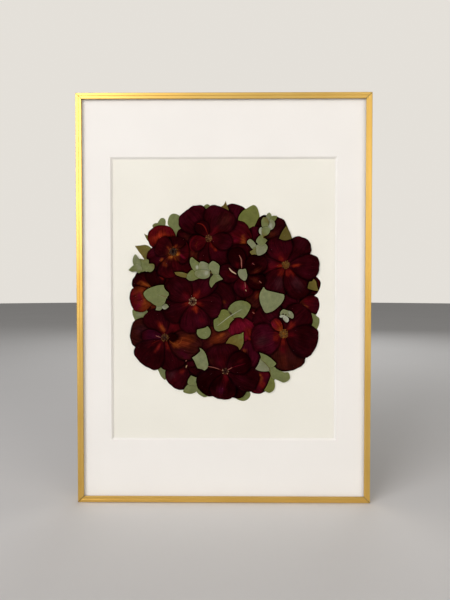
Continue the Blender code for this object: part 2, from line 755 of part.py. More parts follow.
def outlines_meet(first, second):
    """True if two outlines cross or one lies inside the other."""
    for axis in (0, 1):
        if max(p[axis] for p in first) < min(p[axis] for p in second):
            return False
        if max(p[axis] for p in second) < min(p[axis] for p in first):
            return False
    for a, b in zip(first, first[1:] + first[:1]):
        for c, d in zip(second, second[1:] + second[:1]):
            if turn_of(a, b, c) * turn_of(a, b, d) < 0 and turn_of(c, d, a) * turn_of(c, d, b) < 0:
                return True
    return holds(first, second[0]) or holds(second, first[0])


def specimen_layers():
    """Each specimen's layer: just above the highest of those laid down before it that it lies on."""
    layers, laid = {}, {}
    for name, _ in SPECIMENS:
        outlines = specimen_outlines(name)
        under = [
            layers[other]
            for other, others in laid.items()
            if any(outlines_meet(a, b) for a in outlines for b in others)
        ]
        layers[name] = max(under, default=-1) + 1
        laid[name] = outlines
    return layers


def eye_mesh(name, bloom, back):
    """The boss of stamens in the middle of a bloom: a low cone with a flat top."""
    steps = [(1.0, back), (1.0, back - BLADE_THICKNESS)]
    if bloom.raised:
        steps.append((EYE_TOP, back - EYE_HEIGHT))
    rings = []
    for share, depth in steps:
        radius = bloom.eye * MM * share
        turns = [2 * math.pi * i / EYE_SIDES for i in range(EYE_SIDES)]
        rings.append([
            (bloom.x * MM + radius * math.cos(turn), depth, bloom.z * MM + radius * math.sin(turn))
            for turn in turns
        ])
    return closed_mesh(name, rings)


def add_specimen(name, finish, layer, parent):
    """A specimen's blades lie one on another by a hair and are fused into one solid."""
    back = CARD_FRONT - FIT_GAP / 2 - layer * LAYER_PITCH
    pieces = []
    for i, outline in enumerate(specimen_outlines(name)):
        lower = back - i * BLADE_STEP
        mesh = slab_mesh(name, outline, lower, lower - BLADE_THICKNESS)
        pieces.append(add_object(name if i == 0 else f"{name}_blade_{i}", mesh, parent))
    if name in BLOOMS:
        eye = eye_mesh(name + "_eye", BLOOMS[name], back - BLADE_STEP / 2)
        pieces.append(add_object(name + "_eye", eye, parent))
    give_finish(pieces[0], finish)
    if len(pieces) > 1:
        fuse(pieces[0], pieces[1:])


def add_specimens(parent):
    layers = specimen_layers()
    for name, finish in SPECIMENS:
        add_specimen(name, finish, layers[name], parent)


def main():
    clear_scene()
    centre = add_object("frame_centre", None, None)
    centre.location.z = CENTRE_Z
    add_rails(centre)
    add_corner_angles(centre)
    add_sheets(centre)
    add_spring_clips(centre)
    add_hangers(centre)
    add_specimens(centre)


main()
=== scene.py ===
"""The look of a pressed flower frame: fine petals, stamens and leaves on the card, satin gold rails,
glass, mat, hardboard back and hardware, on a pale floor in soft light.

Places on the card are in millimetres from the frame's centre, X to the right and Z up. Lengths
that are multiplied by MM, and places in the room, are in metres. Turns are in degrees from +X.
"""

import math
from collections import namedtuple

import bmesh
import bpy
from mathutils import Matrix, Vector
from mathutils.geometry import delaunay_2d_cdt
from mathutils.noise import noise


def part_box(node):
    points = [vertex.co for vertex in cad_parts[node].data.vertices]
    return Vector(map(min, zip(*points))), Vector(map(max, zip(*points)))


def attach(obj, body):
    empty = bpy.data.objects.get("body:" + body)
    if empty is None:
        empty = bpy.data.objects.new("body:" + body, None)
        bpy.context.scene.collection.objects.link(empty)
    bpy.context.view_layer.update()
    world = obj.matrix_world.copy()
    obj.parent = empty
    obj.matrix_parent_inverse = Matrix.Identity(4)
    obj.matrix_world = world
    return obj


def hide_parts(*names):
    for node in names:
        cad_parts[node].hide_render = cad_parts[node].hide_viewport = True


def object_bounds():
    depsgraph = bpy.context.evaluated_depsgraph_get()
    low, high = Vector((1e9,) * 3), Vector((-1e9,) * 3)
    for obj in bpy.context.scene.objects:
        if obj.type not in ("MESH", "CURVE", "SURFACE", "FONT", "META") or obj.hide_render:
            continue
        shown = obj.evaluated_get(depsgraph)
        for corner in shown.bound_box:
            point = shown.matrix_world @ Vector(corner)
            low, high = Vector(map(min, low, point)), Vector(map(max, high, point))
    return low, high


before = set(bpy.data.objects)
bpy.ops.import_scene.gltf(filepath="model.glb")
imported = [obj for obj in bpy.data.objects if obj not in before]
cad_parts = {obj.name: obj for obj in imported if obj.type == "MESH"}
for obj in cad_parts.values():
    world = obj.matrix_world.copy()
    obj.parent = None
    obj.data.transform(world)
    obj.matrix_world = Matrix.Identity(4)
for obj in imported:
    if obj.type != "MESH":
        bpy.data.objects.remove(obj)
CAD_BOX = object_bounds()

MM = 0.001
CENTRE_Z = (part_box("glass")[0].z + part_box("glass")[1].z) / 2

# Camera: a phone's main lens, held level in front of the frame
LENS = 27.06
CAMERA_PLACE = (0.0085, -0.8019, -0.3382)
CAMERA_TURN = (88.815, 0.0, 0.442)

# Lamps that look at the frame's centre
Lamp = namedtuple("Lamp", "place size watts tone")
LAMPS = {
    "key": Lamp((-1.9, -2.3, 0.9), (1.8, 1.8), 53, (1.0, 0.965, 0.97)),
    "fill": Lamp((2.1, -2.15, 0.3), (1.8, 1.8), 27.5, (1.0, 0.92, 0.83)),
    "back": Lamp((0.5, 2.6, 1.2), (2.0, 1.5), 22, (1.0, 1.0, 1.0)),
}

# Surround: how its light rises with direction, from and to which values, and its tones
SURROUND_SLOPE = (-0.65, -1.2, 0.35)
SURROUND_RANGE = (0.50, 1.50, 0.11, 0.98)
SURROUND_WARM = (1.0, 0.955, 0.88, 1.0)
SURROUND_COOL = (0.98, 0.98, 1.0, 1.0)
SURROUND_SEEN = 0.78

# Floor
FLOOR_RADIUS = 14.0
FLOOR_SIDES = 64
FLOOR_DROP = 1.0 * MM
FLOOR_TONES = (0.70, 0.695, 0.69), (0.75, 0.745, 0.74)

# Turned hardware, from its rim to its middle as (radius, rise), and where it sits, in millimetres
SCREW_PROFILE = (1.6, 0), (1.6, 0.5), (1.35, 0.75), (0.75, 0.75), (0.7, 0.1)
SCREW_SIDES = 18
SCREW_FROM_SIDE = 3.35
SCREW_FROM_CORNER = 24
RIVET_PROFILE = (2.4, 0), (2.3, 0.45), (1.7, 0.8), (0.7, 0.95)
RIVET_SIDES = 20
RIVET_FROM_END = 5
HANGER_SHEET = 1.0

# Edges past these angles stay sharp
SHEET_CREASE = 50
TURNED_CREASE = 35

# Petals: points across and along, thickness, step from one to the next, wrinkles, and the gap
# in depth from which another piece counts as lying on top
PETAL_ACROSS = 40
PETAL_ALONG = 44
PETAL_THICKNESS = 0.08 * MM
PETAL_STEP = 0.034 * MM
WRINKLE = 0.02 * MM
WRINKLE_SIZE = 9
LEVEL_GAP = 0.1 * MM

# The waves of a petal's rim, as (how many go round, how the seed shifts them, height), with how
# far they all lie outwards, the height and size of noise on them, the share of a spoke that a
# height of 1 moves, and the share of the petal's length where the spokes start
RUFFLE_WAVES = (3, 1.0, 0.5), (7, 2.3, 0.4), (12, 3.1, 0.25)
RUFFLE_MEAN = 0.3
RUFFLE_NOISE = 0.6
RUFFLE_SIZE = 4
RUFFLE = 0.034
RUFFLE_CENTRE = 0.55

# Shares of a petal's length: up to its middle tone, from there to its last tone, and up to where
# its tip darkens. Its sides darken from a share of its half width.
FIRST_SPAN = 0.45
LAST_SPAN = 0.5
TIP_RIM = 0.92
SIDE_RIM = 0.84
RIM_SHADE = 0.58

# Painted shadow on a petal beside what lies on it, wide and soft and then narrow, and on a leaf
OVERLAP_REACH = 6.0
OVERLAP_SHADE = 0.58
NARROW_SHADOW_REACH = 4.5
NARROW_SHADOW = 0.36
LEAF_REACH = 2.2
LEAF_SHADE = 0.55
FAR = 4 * OVERLAP_REACH

# How far a petal reaches from its middle, and how much of each end is left out where a gap to its
# rim is measured, as shares of its length
PETAL_REACH = 0.75
PETAL_END = 0.03

# The base under a bloom's petals: how far it reaches past their ring, its sides, how much its rim
# waves, and its light, a painted shade that darkens it
BASE_REACH = 6
BASE_SIDES = 24
BASE_WAVE = 0.08
BASE_LIGHT = 0.5

# Leaves: thickness, step from one to the next, and from one saw tooth to the next
LEAF_THICKNESS = 0.12 * MM
LEAF_STEP = 0.035 * MM
TOOTH_PITCH = 2.2

# The triangles of a leaf: the grid of their points, the distance at which points merge, and the
# number that asks for triangles inside the outline only
LEAF_GRID = 1.5
MERGE_DISTANCE = 1e-4
INSIDE_ONLY = 1

# Light on a leaf: at its rim, how much less within, how wide the rim is, and its mottle. Wrinkles
# fade out towards the rim.
LEAF_RIM_LIGHT = 1.12
LEAF_INNER_SHADE = 0.18
LEAF_RIM = 1.5
LEAF_MOTTLE = 0.10
LEAF_MOTTLE_SIZE = 5
LEAF_FLAT_RIM = 2

# How far noise of a size in millimetres shifts the bounds of marks and of a leaf's tones
MARK_RAGGED = 0.35
MARK_GRAIN = 5
LEAF_RAGGED = 0.25
LEAF_GRAIN = 7

# Curls: a section from side to side as (side, rise), its height, steps along it, how its ends
# narrow, and the painted light on it, darker on its sides than on its ridge
CURL_SECTION = (-1, 0), (-0.6, 0.8), (0, 1), (0.6, 0.8), (1, 0)
CURL_HEIGHT = 0.12 * MM
CURL_STEP = 1.0
CURL_END = 0.35
CURL_TAPER = 0.6
CURL_RAGGED = 0.25
CURL_LIGHT = (0.5, 1.0)

# Stamens: rings of an anther as (reach, rise), and of the disc as (reach, rise, light), where the
# light is painted: the disc darker at its rim and in the hollow in its middle, and an anther
# darker at its foot than at its top. Heights are shares of the room between the petals and the
# front of their box. A stalk runs through points at shares of its length.
ANTHER_RINGS = (1.0, 0.0), (0.86, 0.6), (0.45, 0.93), (0.12, 1.0)
ANTHER_SIDES = 8
ANTHER_SLIMNESS = 0.6
ANTHER_LIGHT = (0.45, 1.05)
DISC_RINGS = (0.9, 0.0, 0.7), (0.8, 0.6, 0.9), (0.45, 1.0, 0.9), (0.2, 0.7, 0.4)
DISC_SIDES = 20
DISC_WAVE = 0.14
DISC_HEIGHT = 0.3
LOBES = 5
STALK_WIDTH = 0.3
STALK_LIGHT = 0.6
STALK_STOPS = (0.3, 0.65, 1.0)
GOLDEN_ANGLE = math.pi * (3 - math.sqrt(5))

# How much chance moves an anther out and round, and changes its tone, light, size, height and
# turn, the light and height that it starts from, and the steps in the noise that chance is read at
OUT_CHANCE = 0.2
ROUND_CHANCE = 0.5
TONE_CHANCE = 0.4
LIGHT_CHANCE = 0.5
SIZE_CHANCE = 0.4
HEIGHT_CHANCE = 0.45
TURN_CHANCE = 0.8
ANTHER_MEAN_LIGHT = 0.8
ANTHER_LEAST_HEIGHT = 0.5
CHANCE_STEP = 1.7
OUT_STEP = 2.3

# The largest share that still picks the last of some tones
ALMOST_ONE = 0.999

# Tones of petals and leaves, as linear colours
BLACK = (0.0084, 0.0003, 0.0005)
DARK = (0.0135, 0.0007, 0.0013)
WINE = (0.0202, 0.0011, 0.0023)
CLARET = (0.0330, 0.0013, 0.0024)
PLUM = (0.0275, 0.0014, 0.0038)
UMBER = (0.0260, 0.0041, 0.0030)
# DUSK, a grey mauve on petals, is partly their own tone and partly painted sheen
DUSK = (0.0330, 0.0068, 0.0090)
MAUVE = (0.0360, 0.0019, 0.0062)
VIOLET = (0.0340, 0.0022, 0.0095)
RUBY = (0.0620, 0.0023, 0.0042)
MAGENTA = (0.0980, 0.0034, 0.0110)
BROWN = (0.0500, 0.0068, 0.0036)
RED = (0.1102, 0.0074, 0.0045)
RUST = (0.1044, 0.0158, 0.0045)
SCARLET = (0.1740, 0.0147, 0.0054)
AMBER = (0.1740, 0.0336, 0.0065)
GREY = (0.0500, 0.0380, 0.0320)
TAN = (0.1500, 0.0700, 0.0280)
OCHRE = (0.2000, 0.0950, 0.0240)
GOLDEN = (0.2400, 0.0860, 0.0120)
FLAME = (0.3600, 0.0900, 0.0160)
CREAM = (0.4200, 0.2600, 0.1400)
BONE = (0.6200, 0.4300, 0.2800)
PINK = (0.3200, 0.1050, 0.0800)
FOREST = (0.1300, 0.1390, 0.0340)
SAGE = (0.1450, 0.1610, 0.0620)
PALE = (0.1780, 0.1940, 0.0960)
OLIVE = (0.1300, 0.0960, 0.0190)
BRONZE = (0.1120, 0.0690, 0.0140)
MOSS = (0.0850, 0.0640, 0.0120)
SILVER = (0.1880, 0.1940, 0.1160)
WHITE = (0.3400, 0.3480, 0.2750)

# A bloom's petals grow from a ring round its centre, listed from the lowest to the topmost. A
# petal's tones are those near its base, at its middle and at its tip. A loose petal is a bloom of
# one. A boss is a disc with anthers between an inner and an outer radius, with the anthers' tones
# from the middle to the rim.
Petal = namedtuple("Petal", "turn length width tones taper tip", defaults=(0.8, 0.5))
Boss = namedtuple("Boss", "inner outer anthers size disc tones")
Bloom = namedtuple("Bloom", "x z ring petals boss", defaults=(None,))

BLOOMS = {
    "top_bloom": Bloom(-26, 106, 4, (
        Petal(181, 53, 42, (WINE, WINE, DARK)),
        Petal(241, 61, 48, (RUST, BROWN, CLARET)),
        Petal(268, 46, 34, (CLARET, WINE, CLARET)),
        Petal(311, 60, 48, (CLARET, PLUM, DARK), 0.9),
        Petal(128, 58, 55, (DARK, WINE, PLUM), 1.0, 0.4),
        Petal(60, 55, 57, (CLARET, WINE, PLUM), 0.8, 0.42),
        Petal(348, 38, 29, (CLARET, WINE, PLUM), 0.7),
        Petal(122, 30, 24, (CLARET, DARK, DARK)),
        Petal(201, 32, 28, (RUBY, CLARET, WINE)),
    ), Boss(0.0, 6.6, 70, 1.9, UMBER, (TAN, BROWN, OCHRE, TAN, BROWN))),
    "rose": Bloom(-88, 83, 3, (
        Petal(204, 45, 41, (CLARET, PLUM, WINE)),
        Petal(281, 42, 68, (BROWN, WINE, CLARET), 0.8, 0.44),
        Petal(0, 25, 42, (RUST, WINE, CLARET), 0.6),
        Petal(93, 23, 46, (BROWN, DARK, DARK), 0.6),
        Petal(153, 29, 36, (BROWN, WINE, CLARET), 0.7),
    ), Boss(0.8, 8.4, 90, 1.8, BLACK, (BLACK, GREY, GREY, TAN, AMBER, GOLDEN))),
    "right_bloom": Bloom(108, 60, 5, (
        Petal(178, 50, 42, (CLARET, WINE, BLACK)),
        Petal(243, 52, 48, (CLARET, WINE, PLUM), 0.9),
        Petal(51, 52, 42, (PLUM, WINE, WINE), 0.9),
        Petal(303, 60, 49, (CLARET, WINE, DARK), 0.8),
        Petal(355, 54, 44, (WINE, WINE, WINE), 0.9, 0.45),
        Petal(110, 47, 49, (CLARET, PLUM, WINE), 0.8, 0.42),
    ), Boss(0.0, 6.8, 80, 1.9, UMBER, (OCHRE, GOLDEN, OCHRE, TAN, OCHRE))),
    "left_centre_bloom": Bloom(-54, -4, 5, (
        Petal(203, 50, 48, (CLARET, WINE, DARK)),
        Petal(348, 47, 46, (CLARET, WINE, PLUM)),
        Petal(63, 58, 50, (CLARET, PLUM, MAUVE)),
        Petal(138, 50, 49, (CLARET, WINE, WINE)),
        Petal(276, 50, 52, (CLARET, PLUM, PLUM), 0.8, 0.45),
    ), Boss(1.2, 6.8, 62, 1.8, UMBER, (BROWN, GREY, TAN, CREAM, CREAM))),
    "left_bloom": Bloom(-103, -67, 5, (
        Petal(289, 54, 50, (CLARET, WINE, WINE), 0.9),
        Petal(169, 56, 54, (WINE, UMBER, UMBER), 0.9, 0.45),
        Petal(54, 42, 40, (CLARET, CLARET, PLUM)),
        Petal(342, 62, 54, (WINE, UMBER, UMBER)),
        Petal(112, 49, 47, (CLARET, WINE, WINE), 0.9, 0.45),
        Petal(174, 36, 23, (VIOLET, VIOLET, PLUM), 0.6),
        Petal(229, 56, 57, (CLARET, DARK, WINE), 1.0, 0.45),
        Petal(3, 17, 13, (DARK, BLACK, BLACK), 0.5),
    ), Boss(0.0, 6.8, 56, 1.8, UMBER, (GREY, BROWN, TAN, TAN, OCHRE))),
    "lower_right_bloom": Bloom(105, -60, 5, (
        Petal(132, 58, 56, (WINE, PLUM, WINE)),
        Petal(47, 55, 52, (CLARET, WINE, WINE), 0.7, 0.45),
        Petal(277, 61, 65, (CLARET, UMBER, UMBER), 0.8, 0.45),
        Petal(341, 56, 58, (WINE, DARK, WINE), 0.8, 0.45),
        Petal(197, 53, 57, (CLARET, MAUVE, PLUM), 0.7),
        Petal(127, 26, 18, (AMBER, RED, RUBY), 0.7, 0.4),
    ), Boss(0.0, 7.8, 96, 2.0, UMBER, (GOLDEN, OCHRE, TAN, OCHRE, GOLDEN))),
    "bottom_bloom": Bloom(3, -126, 4, (
        Petal(166, 32, 34, (BROWN, BROWN, WINE)),
        Petal(216, 52, 48, (DARK, BLACK, BLACK)),
        Petal(305, 50, 34, (RED, BLACK, BLACK), 0.9),
        Petal(263, 46, 46, (DARK, BLACK, WINE)),
        Petal(99, 45, 63, (WINE, WINE, WINE), 0.6),
        Petal(340, 57, 43, (WINE, DARK, DARK), 0.9, 0.45),
        Petal(31, 44, 40, (WINE, DARK, BLACK)),
    ), Boss(2.8, 5.8, 36, 1.5, BLACK, (GREY, BROWN, TAN, CREAM))),
    "centre_bloom": Bloom(33, 43, 5, (
        Petal(92, 48, 50, (DARK, DARK, WINE)),
        Petal(174, 38, 33, (WINE, WINE, PLUM), 0.5),
        Petal(277, 35, 36, (CLARET, PLUM, WINE), 0.5),
        Petal(336, 37, 31, (DARK, DARK, BLACK)),
        Petal(108, 44, 30, (DARK, DARK, BLACK)),
        Petal(38, 44, 36, (DARK, BLACK, DARK)),
    )),
    "far_left_bloom": Bloom(-112, 9, 5, (
        Petal(248, 32, 32, (RUST, RUST, CLARET)),
        Petal(65, 47, 30, (WINE, CLARET, CLARET)),
        Petal(144, 49, 37, (AMBER, CLARET, DARK), 0.9, 0.45),
        Petal(101, 43, 34, (BLACK, DARK, DARK), 0.8, 0.42),
        Petal(195, 48, 46, (RUST, RUST, RUBY), 0.9, 0.45),
    )),
    "upper_right_bloom": Bloom(52, 96, 4, (
        Petal(264, 34, 40, (WINE, CLARET, WINE), 0.7),
        Petal(345, 30, 34, (WINE, WINE, WINE), 0.7),
        Petal(66, 50, 22, (DARK, DARK, DARK), 0.8, 0.42),
        Petal(31, 62, 47, (WINE, UMBER, WINE), 0.9, 0.40),
        Petal(82, 27, 26, (WINE, PLUM, PLUM)),
        Petal(150, 49, 49, (RUBY, CLARET, PLUM), 0.7, 0.42),
    )),
    "right_edge_bloom": Bloom(130, -9, 1, (
        Petal(55, 57, 31, (WINE, WINE, CLARET), 0.9),
        Petal(118, 24, 22, (PLUM, WINE, WINE)),
        Petal(166, 38, 32, (PLUM, PLUM, BLACK)),
        Petal(355, 36, 37, (BROWN, CLARET, PLUM), 0.8, 0.45),
    )),
    "middle_bloom": Bloom(21, -26, 4, (
        Petal(44, 66, 52, (UMBER, UMBER, RUBY)),
        Petal(97, 58, 46, (BROWN, WINE, WINE)),
        Petal(131, 69, 50, (PLUM, WINE, DARK)),
        Petal(207, 57, 40, (WINE, WINE, MAUVE)),
        Petal(353, 37, 28, (UMBER, WINE, CLARET)),
        Petal(288, 51, 58, (RUBY, MAGENTA, MAGENTA), 0.8, 0.45),
    )),
    "lower_left_bloom": Bloom(-63, -118, 1, (
        Petal(125, 22, 28, (DARK, DARK, DARK)),
        Petal(287, 24, 30, (DARK, DARK, DARK)),
        Petal(228, 43, 48, (WINE, WINE, PLUM), 0.8, 0.45),
        Petal(339, 33, 20, (DARK, WINE, WINE), 0.7),
        Petal(52, 23, 22, (PLUM, PLUM, PLUM), 0.7),
    )),
    "low_right_bloom": Bloom(45, -122, 1, (
        Petal(33, 43, 34, (DARK, PLUM, PLUM)),
        Petal(84, 49, 41, (PLUM, MAUVE, MAUVE)),
        Petal(317, 47, 52, (CLARET, RUBY, MAUVE), 0.8, 0.45),
    )),
    "red_petal": Bloom(-107, 84, 0, (Petal(92, 45, 49, (RUBY, RED, RUBY), 0.55, 0.45),)),
    "rear_top_petal": Bloom(14, 126, 0, (Petal(71, 40, 45, (WINE, PLUM, PLUM), 0.8, 0.45),)),
    "amber_petal": Bloom(11, -59, 0, (Petal(204, 62, 50, (BROWN, BROWN, WINE), 0.55),)),
}

# A leaf has two tones or more from its lower left to its upper right, and an outline through its
# turning points: a point with CORNER is sharp, the rest are smooth. Teeth are in millimetres.
# Leaves and sprigs are rows of leaves that lie one on another, from the lowest to the topmost.
Leaf = namedtuple("Leaf", "tones points teeth", defaults=(0.0,))
CORNER = True

